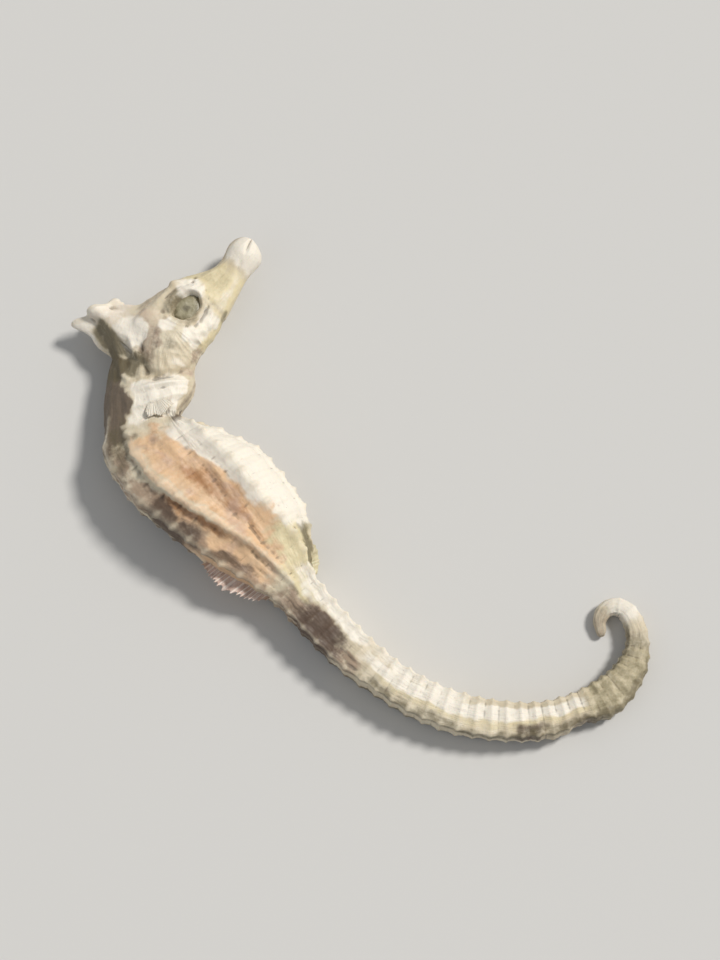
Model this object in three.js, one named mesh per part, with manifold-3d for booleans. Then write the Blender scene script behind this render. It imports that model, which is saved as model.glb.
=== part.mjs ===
// A dried seahorse that lies on its left side with its right flank up.
// Millimetres. X and Y lie in the floor, +Z is up and the floor is z = 0.
//
// One curved axis runs through the body, from the tip of the snout to the tip
// of the tail. It bends in the floor's plane only, towards the belly, and its
// height above the floor varies a little. A place on the body is given by its
// distance along the axis and by its angle round it: 0 degrees is the back,
// 90 the right flank, which faces up, 180 the belly and 270 the left flank.
// All the fleshy pieces are lengths of one body shape, parted by thin cuts.
import * as THREE from 'three';
import { mergeVertices } from 'three/addons/utils/BufferGeometryUtils.js';
import Module from 'manifold-3d';

const wasm = await Module();
wasm.setup();

// ---------------------------------------------------------------- dimensions

// Clearance between two neighbouring pieces.
const GAP = 0.3;

// The axis: where the snout's tip is, which way the snout runs back from it
// (degrees from +X), and the arcs that follow, each turning to the belly side.
const SNOUT_TIP = { x: -12.73, y: 29.66 };
const SNOUT_HEADING = 229;
const AXIS_ARCS = [
  { part: 'snout and face', length: 13, turn: 0 },
  { part: 'nape', length: 11, turn: 60 },
  { part: 'neck', length: 6.5, turn: 17 },
  { part: 'chest', length: 8, turn: 3 },
  { part: 'flank', length: 15, turn: -1 },
  { part: 'hip', length: 7, turn: 8 },
  { part: 'tail base', length: 9, turn: 16 },
  { part: 'tail front', length: 10, turn: 24 },
  { part: 'tail middle', length: 9, turn: 21 },
  { part: 'tail rear', length: 5, turn: 16 },
  { part: 'start of the curl', length: 5.5, turn: 42 },
  { part: 'curl', length: 5.2, turn: 52 },
  { part: 'end of the curl', length: 4.6, turn: 150 },
  { part: 'tip of the tail', length: 1.4, turn: 6 },
];
const BODY_LENGTH = AXIS_ARCS.reduce((sum, arc) => sum + arc.length, 0);

// Distances along the axis at which the body is parted.
const CUT = {
  snout: 2.8,
  head: 8.3,
  neck: 22.4,
  trunkFront: 26.4,
  trunkMiddle: 33.1,
  trunkRear: 42.1,
  tailBase: 51.1,
  tailFront: 61.9,
  tailMiddle: 73.2,
  tailRear: 84.2,
  tailTip: 95.6,
};

// Bony rings: the trunk's are even, the tail's get closer towards its tip.
const TRUNK_RINGS = 11;
const TAIL_RINGS = 36;
const TAIL_PITCH_RATIO = 0.5;

// Sides of a section, and the step between sections where there are no rings.
const BODY_SIDES = 24;
const TAIL_SIDES = 16;
const HEAD_STEP = 0.95;

// How round the two ends of the body are.
const SNOUT_ROUNDING = 1.5;
const TAIL_ROUNDING = 0.8;
const END_SCALE = 0.42;

// -------------------------------------------------------------------- profiles

// A smooth curve through [distance, value] pairs, with no overshoot between
// them (a monotone cubic), which keeps its end values outside them.
function profile(...points) {
  const slopes = points.map((point, i) => {
    if (i === 0 || i === points.length - 1) {
      return 0;
    }
    const before = (point[1] - points[i - 1][1]) / (point[0] - points[i - 1][0]);
    const after = (points[i + 1][1] - point[1]) / (points[i + 1][0] - point[0]);
    return before * after > 0 ? (2 * before * after) / (before + after) : 0;
  });
  return (s) => {
    if (s <= points[0][0]) {
      return points[0][1];
    }
    const next = points.findIndex((point) => point[0] > s);
    if (next < 0) {
      return points[points.length - 1][1];
    }
    const [s0, v0] = points[next - 1];
    const [s1, v1] = points[next];
    const span = s1 - s0;
    const t = (s - s0) / span;
    const rise = t * t * (3 - 2 * t);
    const ease = t * (1 - t);
    return v0 + (v1 - v0) * rise + span * ease * ((1 - t) * slopes[next - 1] - t * slopes[next]);
  };
}

// Distance from the axis to the back, to the belly, and to either flank.
const backDepth = profile(
  [1.8, 2.05], [5, 1.65], [9, 3.4], [13, 4.6], [17, 5.9], [19.5, 5.7], [23, 6.3],
  [28, 9.2], [31, 9.2], [37, 8.1], [44, 6.2], [48, 4.4], [52, 2.8], [60, 2.5],
  [66, 2.2], [74, 2.5], [80, 2.6], [86, 2.75], [89, 2], [92, 2.4], [97, 1.7], [101, 1.2],
  [105, 1.2], [107.5, 0.95], [110, 0.6],
);
const bellyDepth = profile(
  [1.8, 2], [5, 2.4], [9, 3.4], [13, 4.2], [21.5, 4.4], [25, 3.7], [26.5, 1.5],
  [28.5, 2.7], [31, 4.4], [37, 6.7], [43, 6.7], [47.5, 5], [52, 2.8], [60, 2.7],
  [70, 2.4], [80, 2.05], [86, 1.7], [93, 2.1], [98, 1.8], [103, 1.1], [107.5, 0.8], [110, 0.55],
);
const flankWidth = profile(
  [1.8, 2.05], [5, 1.75], [9, 2.8], [12, 3.2], [17, 3.5], [21, 3.2], [24.8, 2.8],
  [31, 4.5], [37, 4.9], [44, 3.9], [52, 2.55], [60, 2.4],
  [72, 2.2], [84, 1.95], [96, 1.65], [103, 1.2], [107, 0.95], [110, 0.6],
);

// Height of the axis above the floor.
const axisHeight = profile(
  [2, 3.4], [12, 3.6], [20, 3.72], [26, 4.2], [32, 4.65], [38, 4.8],
  [44, 4.18], [52, 3], [60, 2.55], [72, 2.35], [84, 2.1], [96, 1.8], [103, 1.3],
  [107, 1.1], [110, 0.75],
);

// Exponent of the section's outline: 2 is an oval, more is squarer.
const squareness = profile([8, 2], [16, 2.3], [30, 2.1], [46, 2.2], [58, 3], [100, 2.8], [108, 2.2]);

// How high the edge of each ring stands, and the knob where it meets a ridge.
const ringHeight = profile([22, 0], [27, 0.2], [46, 0.24], [60, 0.2], [90, 0.15], [104, 0.08], [109, 0]);
const knobHeight = profile([24, 0], [28, 0.3], [50, 0.32], [70, 0.18], [100, 0.08], [108, 0]);

// How far the dried skin sinks between the ridges.
const skinSink = profile([23, 0], [30, 0.35], [45, 0.35], [53, 0.12], [90, 0.08], [105, 0]);

// The long ridges of one side. The pair on the back and the pair on the belly
// run on down the tail; the one on the flank and the keel end with the trunk.
const RIDGES = [
  {
    part: 'back ridge',
    angle: profile([26, 26], [34, 30], [50, 38], [58, 45]),
    height: profile([22, 0], [27, 0.35], [50, 0.35], [70, 0.25], [104, 0.05]),
  },
  {
    part: 'flank ridge',
    angle: profile([26, 56], [32, 55], [38, 62], [46, 80], [52, 88]),
    height: profile([24, 0], [29, 0.45], [46, 0.45], [54, 0]),
  },
  {
    part: 'belly ridge',
    angle: profile([26, 142], [32, 120], [42, 116], [50, 134], [58, 135]),
    height: profile([24, 0], [29, 0.35], [50, 0.35], [70, 0.25], [104, 0.05]),
  },
  {
    part: 'keel',
    angle: () => 180,
    height: profile([25, 0], [29, 0.3], [46, 0.3], [52, 0]),
  },
];
const RIDGE_SPREAD = 8;

// Swellings and hollows of one side: where they are, how high or deep, and how
// far they spread along the axis (mm) and round it (degrees).
const FORMS = [
  { part: 'brow', at: 9.9, angle: 48, height: 0.45, length: 1.5, spread: 15 },
  { part: 'rim before the eye', at: 8.9, angle: 96, height: 0.2, length: 0.9, spread: 18 },
  { part: 'cheek', at: 13.9, angle: 118, height: 0.45, length: 1.6, spread: 20 },
  { part: 'chin', at: 13, angle: 172, height: 0.3, length: 2.2, spread: 22 },
  { part: 'ridge behind the eye', at: 14.6, angle: 60, height: 0.35, length: 1.6, spread: 11 },
  { part: 'hollow of the nape', at: 19.6, angle: 50, height: -0.75, length: 2, spread: 20 },
  { part: 'collar', at: 23.1, angle: 90, height: 0.3, length: 0.9, spread: 90 },
  { part: 'hollow flank', at: 37, angle: 94, height: -0.85, length: 7, spread: 16 },
  { part: 'hollow back', at: 39, angle: 50, height: -0.3, length: 7, spread: 9 },
  { part: 'knuckle of the tail', at: 92.6, angle: 30, height: 0.2, length: 1.2, spread: 30 },
];

// Eyes, gill covers and the slit of the mouth, measured from the axis: along
// it, towards the back, and out to the side.
const EYE = { at: 11.8, up: -0.05, side: 2.05, radius: 1.75, depth: 1.2 };
const GILL_COVER = { at: 17.7, up: -1, side: 2.55, length: 3.7, height: 3.2, depth: 1.35 };
const EYE_DETAIL = [16, 10];
const GILL_DETAIL = [18, 8];
const MOUTH_SLIT = { up: 0.25, depth: 0.95, width: 0.42, side: 1.5 };

// Coronet: a short stalk on the nape that spreads into five blunt points. Its
// foot and crown are placed along the snout's line and towards the back.
const CORONET = {
  foot: { along: 18.1, up: 3.4 },
  crown: { along: 18.2, up: 8.1 },
  tilt: 21,
  sides: 20,
  layers: 7,
  points: 5,
  radius: profile([0, 4.2], [0.35, 3.5], [0.65, 2.2], [0.85, 1.95], [1, 1.7]),
  narrowness: 0.72,
  pointReach: 0.75,
  pointRise: 0.5,
};

// Fins, all about half a millimetre thick.
const FIN_THICKNESS = 0.6;
const DORSAL_FIN = { from: 42.8, to: 50.2, height: 2, rays: 14, notch: 0.22, sunk: 0.9 };
const ANAL_FIN = { from: 48.2, to: 51, height: 1.3, rays: 5, notch: 0.1, sunk: 0.9 };
const PECTORAL_FIN = { at: 24.2, up: 0.6, length: 3.4, spread: 50, rays: 10, notch: 0.12 };
const PECTORAL_LEAN = { right: 9, left: 2 };

const COLOURS = {
  ivory: 0xe8e0cb,
  cream: 0xd9cfae,
  apricot: 0xc79a6d,
  umber: 0x6d5646,
  fin: 0xb59a84,
  eye: 0x8f8769,
};

// -------------------------------------------------------------------- body axis

// The start of each arc of the axis.
function layOutArcs() {
  const start = { s: 0, heading: THREE.MathUtils.degToRad(SNOUT_HEADING), ...SNOUT_TIP };
  const laid = [];
  for (const { length, turn } of AXIS_ARCS) {
    const arc = { ...start, length, turn: THREE.MathUtils.degToRad(turn) };
    laid.push(arc);
    Object.assign(start, alongArc(arc, length), { s: arc.s + length });
  }
  return laid;
}

// Position and heading at a distance along one arc.
function alongArc(arc, distance) {
  const heading = arc.heading + (arc.turn * distance) / arc.length;
  if (arc.turn === 0) {
    return {
      x: arc.x + Math.cos(heading) * distance,
      y: arc.y + Math.sin(heading) * distance,
      heading,
    };
  }
  const radius = arc.length / arc.turn;
  return {
    x: arc.x + radius * (Math.sin(heading) - Math.sin(arc.heading)),
    y: arc.y - radius * (Math.cos(heading) - Math.cos(arc.heading)),
    heading,
  };
}

const ARCS = layOutArcs();

// The axis at distance s: its centre, the way it runs, and the way the back is.
function axisAt(s) {
  const arc = ARCS.findLast((candidate) => candidate.s <= s) ?? ARCS[0];
  const { x, y, heading } = alongArc(arc, s - arc.s);
  return {
    centre: new THREE.Vector3(x, y, axisHeight(s)),
    along: new THREE.Vector3(Math.cos(heading), Math.sin(heading), 0),
    back: new THREE.Vector3(Math.sin(heading), -Math.cos(heading), 0),
    heading,
  };
}

// A point given by its distance along the axis, towards the back, and up.
function besideAxis(s, towardsBack, up) {
  const { centre, back } = axisAt(s);
  return centre.addScaledVector(back, towardsBack).add(new THREE.Vector3(0, 0, up));
}

// ------------------------------------------------------------------- body shape

const TAIL_LENGTH = BODY_LENGTH - CUT.tailBase;
const RATIO_LOG = Math.log(TAIL_PITCH_RATIO);
const TAIL_SCALE = TAIL_LENGTH / (TAIL_PITCH_RATIO - 1);

// Where ring number n begins; the trunk's rings come first. A half is mid-ring.
function ringPosition(n) {
  if (n <= TRUNK_RINGS) {
    return CUT.trunkFront + ((CUT.tailBase - CUT.trunkFront) * n) / TRUNK_RINGS;
  }
  const part = (n - TRUNK_RINGS) / TAIL_RINGS;
  return CUT.tailBase + TAIL_SCALE * (Math.exp(RATIO_LOG * part) - 1);
}

// The number of the ring at distance s, with the part of it passed.
function ringNumber(s) {
  if (s <= CUT.tailBase) {
    return (TRUNK_RINGS * (s - CUT.trunkFront)) / (CUT.tailBase - CUT.trunkFront);
  }
  return TRUNK_RINGS + (TAIL_RINGS * Math.log(1 + (s - CUT.tailBase) / TAIL_SCALE)) / RATIO_LOG;
}

// 1 on the raised edge between two rings, 0 in the middle of a ring.
function ringEdge(s) {
  return Math.max(0, Math.cos(2 * Math.PI * ringNumber(s))) ** 1.5;
}

// A bell curve that is 1 at 0 and falls away over about `spread`.
function bell(distance, spread) {
  return Math.exp(-0.5 * (distance / spread) ** 2);
}

// How far the surface stands off the plain section, at s and at an angle of
// 0 to 180 degrees, the same on both flanks.
function relief(s, angle) {
  let ridge = 0;
  let stand = 0;
  for (const line of RIDGES) {
    const on = bell(angle - line.angle(s), RIDGE_SPREAD);
    ridge = Math.max(ridge, on);
    stand = Math.max(stand, on * line.height(s));
  }
  const edge = ringEdge(s);
  let total = stand - skinSink(s) * (1 - ridge) + edge * (ringHeight(s) + knobHeight(s) * ridge);
  for (const form of FORMS) {
    total += form.height * bell(s - form.at, form.length) * bell(angle - form.angle, form.spread);
  }
  return total;
}

// How much the section shrinks towards the two rounded ends of the body.
function endScale(s) {
  const toSnout = Math.min(1, s / SNOUT_ROUNDING);
  const toTail = Math.min(1, (BODY_LENGTH - s) / TAIL_ROUNDING);
  const nearest = 1 - Math.min(toSnout, toTail);
  return END_SCALE + (1 - END_SCALE) * Math.sqrt(1 - nearest * nearest);
}

// The surface point at s and at an angle in radians, moved out by `swell`; at
// radius 0 it is the axis itself.
function bodyPoint(s, angle, radius, swell) {
  const { centre, back } = axisAt(s);
  if (radius === 0) {
    return centre;
  }
  const cos = Math.cos(angle);
  const sin = Math.sin(angle);
  const power = squareness(s);
  const reach = (Math.abs(cos) ** power + Math.abs(sin) ** power) ** (-1 / power);
  const depth = cos > 0 ? backDepth(s) : bellyDepth(s);
  const plain = new THREE.Vector2(reach * cos * depth, reach * sin * flankWidth(s));
  const degrees = THREE.MathUtils.radToDeg(Math.abs(Math.atan2(sin, cos)));
  const length = plain.length();
  const size = endScale(s) * (length + relief(s, degrees)) + swell;
  plain.multiplyScalar(size / length);
  return centre.addScaledVector(back, plain.x).add(new THREE.Vector3(0, 0, plain.y));
}

// Distances between `from` and `to` at which sections are taken: the edges and
// middles of the rings, and even steps before the first ring.
function sectionsBetween(from, to) {
  const places = [from];
  const nearest = HEAD_STEP / 4;
  const add = (s) => {
    if (s > places[places.length - 1] + nearest && s < to - nearest) {
      places.push(s);
    }
  };
  const plainEnd = Math.min(to, CUT.trunkFront);
  const steps = Math.max(0, Math.round((plainEnd - from) / HEAD_STEP));
  for (let i = 1; i <= steps; i += 1) {
    add(from + ((plainEnd - from) * i) / steps);
  }
  for (let half = 0; half < 2 * (TRUNK_RINGS + TAIL_RINGS); half += 1) {
    add(ringPosition(half / 2));
  }
  places.push(to);
  return places;
}

// ---------------------------------------------------------------- solid helpers

// A closed geometry with only positions, its shared vertices merged.
function closed(geometry) {
  geometry.deleteAttribute('normal');
  geometry.deleteAttribute('uv');
  return mergeVertices(geometry, 1e-4);
}

// A three.js geometry as a solid that can be joined and cut.
function toSolid(geometry) {
  const merged = closed(geometry);
  return new wasm.Manifold(new wasm.Mesh({
    numProp: 3,
    vertProperties: new Float32Array(merged.attributes.position.array),
    triVerts: new Uint32Array(merged.index.array),
  }));
}

// A solid as a three.js geometry.
function toGeometry(solid) {
  const mesh = solid.getMesh();
  const geometry = new THREE.BufferGeometry();
  geometry.setAttribute('position', new THREE.BufferAttribute(mesh.vertProperties, 3));
  geometry.setIndex(new THREE.BufferAttribute(mesh.triVerts, 1));
  geometry.computeVertexNormals();
  return geometry;
}

// A length of the body: a closed cylinder bent and shaped into it.
function bodyLength(from, to, sides, swell = 0) {
  const places = sectionsBetween(from, to);
  const layers = places.length - 1;
  const geometry = new THREE.CylinderGeometry(1, 1, 1, sides, layers);
  const vertices = geometry.attributes.position;
  for (let i = 0; i < vertices.count; i += 1) {
    const s = places[Math.round((0.5 - vertices.getY(i)) * layers)];
    const across = vertices.getX(i);
    const upward = vertices.getZ(i);
    const radius = Math.round(Math.hypot(across, upward));
    vertices.setXYZ(i, ...bodyPoint(s, Math.atan2(across, upward), radius, swell));
  }
  return toSolid(geometry);
}

// Everything above the floor, used to flatten the undersides that rest on it.
const ABOVE_FLOOR = toSolid(new THREE.BoxGeometry(200, 200, 60).translate(0, 0, 30));

// The flesh with a clearance round it, which fins and coronet are cut back to.
const HEAD_CLEARANCE = bodyLength(9, CUT.trunkMiddle, BODY_SIDES, GAP);
const TRUNK_CLEARANCE = bodyLength(CUT.neck, CUT.tailFront, BODY_SIDES, GAP);

// ------------------------------------------------------------------- the pieces

const seahorse = new THREE.Group();
const head = new THREE.Group();
const trunk = new THREE.Group();
const fins = new THREE.Group();
const tail = new THREE.Group();
seahorse.add(head, trunk, fins, tail);

// Adds a solid to a group as a named mesh in its own colour.
function addPiece(group, name, solid, colour, roughness = 0.75) {
  const material = new THREE.MeshStandardMaterial({ color: colour, roughness, metalness: 0 });
  const mesh = new THREE.Mesh(toGeometry(solid.intersect(ABOVE_FLOOR)), material);
  mesh.name = name;
  group.add(mesh);
}

// An ellipsoid on one flank of the head; side is 1 on the right, -1 on the left.
function headEllipsoid(place, halfSizes, side, detail) {
  const [length, height, depth] = halfSizes;
  const { heading } = axisAt(place.at);
  const centre = besideAxis(place.at, place.up, side * place.side);
  const geometry = new THREE.SphereGeometry(1, ...detail);
  geometry.rotateX(Math.PI / 2);
  geometry.scale(length, height, depth);
  geometry.rotateZ(heading);
  geometry.translate(...centre);
  return toSolid(geometry);
}

function eyeball(side, swell = 0) {
  const across = EYE.radius + swell;
  return headEllipsoid(EYE, [across, across, EYE.depth + swell], side, EYE_DETAIL);
}

function gillCover(side, swell = 0) {
  const { length, height, depth } = GILL_COVER;
  return headEllipsoid(GILL_COVER, [length + swell, height + swell, depth + swell], side, GILL_DETAIL);
}

// The slit between the jaws, open at the front and at both corners.
function mouthSlit() {
  const { centre, along, back, heading } = axisAt(MOUTH_SLIT.depth / 2);
  const geometry = new THREE.BoxGeometry(2 * MOUTH_SLIT.depth, MOUTH_SLIT.width, 2 * MOUTH_SLIT.side);
  geometry.rotateZ(heading);
  centre.addScaledVector(back, MOUTH_SLIT.up);
  centre.addScaledVector(along, -MOUTH_SLIT.depth / 2);
  geometry.translate(...centre);
  return toSolid(geometry);
}

function addHead() {
  let skull = bodyLength(CUT.head + GAP / 2, CUT.neck - GAP / 2, BODY_SIDES);
  for (const [side, name] of [[1, 'right'], [-1, 'left']]) {
    skull = skull.subtract(eyeball(side, GAP)).subtract(gillCover(side, GAP));
    addPiece(head, `eye_${name}`, eyeball(side), COLOURS.eye, 0.35);
    addPiece(head, `gill_cover_${name}`, gillCover(side), COLOURS.ivory);
  }
  const jaws = bodyLength(0, CUT.snout - GAP / 2, BODY_SIDES).subtract(mouthSlit());
  const snout = bodyLength(CUT.snout + GAP / 2, CUT.head - GAP / 2, BODY_SIDES);
  addPiece(head, 'mouth', jaws, COLOURS.ivory);
  addPiece(head, 'snout', snout, COLOURS.cream);
  addPiece(head, 'head', skull, COLOURS.ivory);
  addPiece(head, 'coronet', coronet(), COLOURS.ivory);
}

// The coronet: a cylinder whose sides are drawn in to a waist and out to points.
function coronet() {
  const { sides, layers, points, radius, narrowness, pointReach, pointRise, tilt } = CORONET;
  const { along, back, centre } = axisAt(0);
  const place = ({ along: distance, up }) => centre.clone()
    .setZ(axisHeight(AXIS_ARCS[0].length))
    .addScaledVector(along, distance)
    .addScaledVector(back, up);
  const foot = place(CORONET.foot);
  const stalk = place(CORONET.crown).sub(foot);
  const geometry = new THREE.CylinderGeometry(1, 1, 1, sides, layers);
  const vertices = geometry.attributes.position;
  for (let i = 0; i < vertices.count; i += 1) {
    const height = vertices.getY(i) + 0.5;
    const rim = Math.round(Math.hypot(vertices.getX(i), vertices.getZ(i)));
    const angle = Math.atan2(vertices.getX(i), vertices.getZ(i));
    const point = (0.5 + 0.5 * Math.cos(points * angle)) ** 2;
    const crown = THREE.MathUtils.smoothstep(height, 0.55, 1);
    const reach = rim * (radius(height) + pointReach * point * crown);
    const forward = reach * Math.cos(angle);
    const sideways = reach * Math.sin(angle) * narrowness;
    const lean = Math.tan(THREE.MathUtils.degToRad(tilt)) * crown * forward;
    const rise = rim * pointRise * point * crown + lean;
    vertices.setXYZ(i, ...foot.clone()
      .addScaledVector(stalk, height)
      .addScaledVector(along, forward)
      .addScaledVector(back, rise)
      .add(new THREE.Vector3(0, 0, sideways)));
  }
  return toSolid(geometry).subtract(HEAD_CLEARANCE);
}

function addTrunk() {
  const lengths = [
    ['neck', CUT.neck, CUT.trunkFront, COLOURS.ivory],
    ['trunk_front', CUT.trunkFront, CUT.trunkMiddle, COLOURS.apricot],
    ['trunk_middle', CUT.trunkMiddle, CUT.trunkRear, COLOURS.apricot],
    ['trunk_rear', CUT.trunkRear, CUT.tailBase, COLOURS.cream],
  ];
  for (const [name, from, to, colour] of lengths) {
    addPiece(trunk, name, bodyLength(from + GAP / 2, to - GAP / 2, BODY_SIDES), colour);
  }
}

function addTail() {
  const lengths = [
    ['tail_base', CUT.tailBase, CUT.tailFront],
    ['tail_front', CUT.tailFront, CUT.tailMiddle],
    ['tail_middle', CUT.tailMiddle, CUT.tailRear],
    ['tail_rear', CUT.tailRear, CUT.tailTip],
    ['tail_tip', CUT.tailTip, BODY_LENGTH + GAP / 2],
  ];
  for (const [name, from, to] of lengths) {
    addPiece(tail, name, bodyLength(from + GAP / 2, to - GAP / 2, TAIL_SIDES), COLOURS.cream);
  }
}

// A fin on the middle line of the back or belly: an outline that follows the
// body, with its free edge notched between the rays, made FIN_THICKNESS thick.
function middleFin({ from, to, height, rays, notch, sunk }, depthAt, direction) {
  const steps = rays * 2;
  const inner = [];
  const outer = [];
  for (let i = 0; i <= steps; i += 1) {
    const part = i / steps;
    const s = from + (to - from) * part;
    const rise = height * Math.sin(Math.PI * (0.06 + 0.9 * part)) ** 0.7 - (i % 2) * notch;
    inner.push(besideAxis(s, direction * (depthAt(s) - sunk), 0));
    outer.push(besideAxis(s, direction * (depthAt(s) + rise), 0));
  }
  const outline = [...inner, ...outer.reverse()].map(({ x, y }) => new THREE.Vector2(x, y));
  const middle = axisHeight((from + to) / 2);
  const geometry = new THREE.ExtrudeGeometry(new THREE.Shape(outline), {
    depth: FIN_THICKNESS,
    bevelEnabled: false,
  });
  geometry.translate(0, 0, middle - FIN_THICKNESS / 2);
  return toSolid(geometry).subtract(TRUNK_CLEARANCE);
}

// A breast fin: a fan laid back along the neck, close to the skin.
function pectoralFin(side, lean) {
  const { at, up, length, spread, rays, notch } = PECTORAL_FIN;
  const outline = [new THREE.Vector2(0, -0.55), new THREE.Vector2(0, 0.55)];
  const steps = rays * 2;
  for (let i = steps; i >= 0; i -= 1) {
    const angle = THREE.MathUtils.degToRad(spread * (i / steps - 0.5) * 2);
    const reach = length - (i % 2) * notch;
    outline.push(new THREE.Vector2(reach * Math.cos(angle), reach * Math.sin(angle)));
  }
  const { heading } = axisAt(at);
  const geometry = new THREE.ExtrudeGeometry(new THREE.Shape(outline.reverse()), {
    depth: FIN_THICKNESS,
    bevelEnabled: false,
  });
  geometry.translate(0, 0, -FIN_THICKNESS / 2);
  geometry.rotateY(THREE.MathUtils.degToRad(-side * lean));
  geometry.rotateZ(heading);
  geometry.translate(...besideAxis(at, up, side * (flankWidth(at) + GAP + FIN_THICKNESS / 2)));
  return toSolid(geometry).subtract(TRUNK_CLEARANCE);
}

function addFins() {
  addPiece(fins, 'dorsal_fin', middleFin(DORSAL_FIN, backDepth, 1), COLOURS.fin);
  addPiece(fins, 'anal_fin', middleFin(ANAL_FIN, bellyDepth, -1), COLOURS.fin);
  addPiece(fins, 'pectoral_fin_right', pectoralFin(1, PECTORAL_LEAN.right), COLOURS.fin);
  addPiece(fins, 'pectoral_fin_left', pectoralFin(-1, PECTORAL_LEAN.left), COLOURS.fin);
}

addHead();
addTrunk();
addTail();
addFins();

export default seahorse;
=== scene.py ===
"""A dried seahorse that lies on its left side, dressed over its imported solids.

Lengths are in millimetres until a mesh is finished, and in metres after that.
A place on the body is given by its distance along the curved axis, from the
tip of the snout, and by its angle round the axis: 0 degrees is the back, 90
the right flank, which faces up, 180 the belly, and the left flank is negative.
"""
import logging
import math
from dataclasses import dataclass, field
from enum import Enum
from typing import Callable, Optional, Sequence, Union

import bmesh
import bpy
import numpy as np
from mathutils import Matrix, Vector, noise


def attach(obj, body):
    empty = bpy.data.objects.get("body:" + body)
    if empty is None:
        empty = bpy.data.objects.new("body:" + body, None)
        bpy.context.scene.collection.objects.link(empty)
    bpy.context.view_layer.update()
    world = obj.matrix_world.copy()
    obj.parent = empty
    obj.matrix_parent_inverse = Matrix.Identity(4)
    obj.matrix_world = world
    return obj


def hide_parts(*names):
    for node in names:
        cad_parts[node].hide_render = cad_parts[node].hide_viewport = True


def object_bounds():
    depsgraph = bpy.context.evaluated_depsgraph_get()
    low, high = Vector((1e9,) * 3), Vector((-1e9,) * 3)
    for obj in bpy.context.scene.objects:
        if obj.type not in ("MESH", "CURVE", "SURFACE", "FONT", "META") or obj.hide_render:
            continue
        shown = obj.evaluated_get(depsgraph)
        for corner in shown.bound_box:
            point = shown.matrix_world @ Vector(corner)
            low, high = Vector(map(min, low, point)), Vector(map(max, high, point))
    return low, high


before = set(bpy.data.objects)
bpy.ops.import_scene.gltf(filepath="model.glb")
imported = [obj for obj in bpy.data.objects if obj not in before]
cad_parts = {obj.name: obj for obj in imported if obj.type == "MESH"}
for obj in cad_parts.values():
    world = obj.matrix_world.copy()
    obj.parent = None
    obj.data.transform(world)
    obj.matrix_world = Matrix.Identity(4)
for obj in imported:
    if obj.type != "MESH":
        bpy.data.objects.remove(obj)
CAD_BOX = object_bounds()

LOG = logging.getLogger("seahorse")
METRES = 0.001
BODY = "root"
FLESH = [
    "mouth", "snout", "head", "coronet", "gill_cover_right", "gill_cover_left", "neck",
    "trunk_front", "trunk_middle", "trunk_rear", "tail_base", "tail_front", "tail_middle",
    "tail_rear", "tail_tip",
]

Array = np.ndarray


# ------------------------------------------------------------- small mathematics

def smoothstep(low: float, high: float, x: Array) -> Array:
    """Rises smoothly from 0 to 1 as x goes from low to high."""
    t = np.clip((x - low) / (high - low), 0.0, 1.0)
    return t * t * (3.0 - 2.0 * t)


def bell(distance: Array, spread: float) -> Array:
    """Is 1 at distance 0 and falls away over about the spread."""
    return np.exp(-0.5 * (distance / spread) ** 2)


def window(x: Array, low: float, high: float, soft: float) -> Array:
    """Is 1 between low and high, and fades to 0 over soft outside them."""
    return smoothstep(low - soft, low, x) * (1.0 - smoothstep(high, high + soft, x))


def mixed(first: Array, second: Array, share: Array) -> Array:
    """Goes from the first to the second as the share goes from 0 to 1."""
    return first + (second - first) * share


def linear(code: int) -> tuple[float, float, float, float]:
    """Turns a display colour code into the linear colour that shaders use.

    Args:
        code: Red, green and blue of the display colour, one byte each.

    Returns:
        Red, green, blue and an alpha of 1.
    """
    parts = [((code >> shift) & 255) / 255.0 for shift in (16, 8, 0)]
    red, green, blue = (
        part / 12.92 if part <= 0.04045 else ((part + 0.055) / 1.055) ** 2.4
        for part in parts
    )
    return red, green, blue, 1.0


@dataclass(frozen=True)
class Profile:
    """A smooth curve through pairs of distance and value, with no overshoot."""

    points: tuple[tuple[float, float], ...]

    def __call__(self, s: Array) -> Array:
        """Reads the curve.

        Args:
            s: The distances to read it at.

        Returns:
            The values there, which keep the end values past both ends.
        """
        x, y = np.array(self.points, dtype=float).T
        rate = np.diff(y) / np.diff(x)
        before, after = rate[:-1], rate[1:]
        same_way = before * after > 0
        total = np.where(same_way, before + after, 1.0)
        slopes = np.zeros(len(x))
        slopes[1:-1] = np.where(same_way, 2.0 * before * after / total, 0.0)
        s = np.clip(s, x[0], x[-1])
        i = np.clip(np.searchsorted(x, s, side="right") - 1, 0, len(x) - 2)
        span = x[i + 1] - x[i]
        t = (s - x[i]) / span
        rise = t * t * (3.0 - 2.0 * t)
        lean = (1.0 - t) * slopes[i] - t * slopes[i + 1]
        return y[i] + (y[i + 1] - y[i]) * rise + span * t * (1.0 - t) * lean


def noise_at(places: Array, size: float, seed: float = 0.0) -> Array:
    """Gives smooth noise between about -1 and 1.

    Args:
        places: One row of three coordinates per value.
        size: The size of one lump, in the unit of the places.
        seed: Moves the noise, so that two calls differ.

    Returns:
        One value per row.
    """
    shift = Vector((seed, -1.7 * seed, 0.6 * seed))
    scaled = places / size
    return np.array([noise.noise(Vector(row) + shift) for row in scaled])


# ------------------------------------------------------------------ the body

@dataclass(frozen=True)
class Arc:
    """One length of the body's axis, which turns evenly towards the belly."""

    part: str
    length: float
    turn: float


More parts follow.
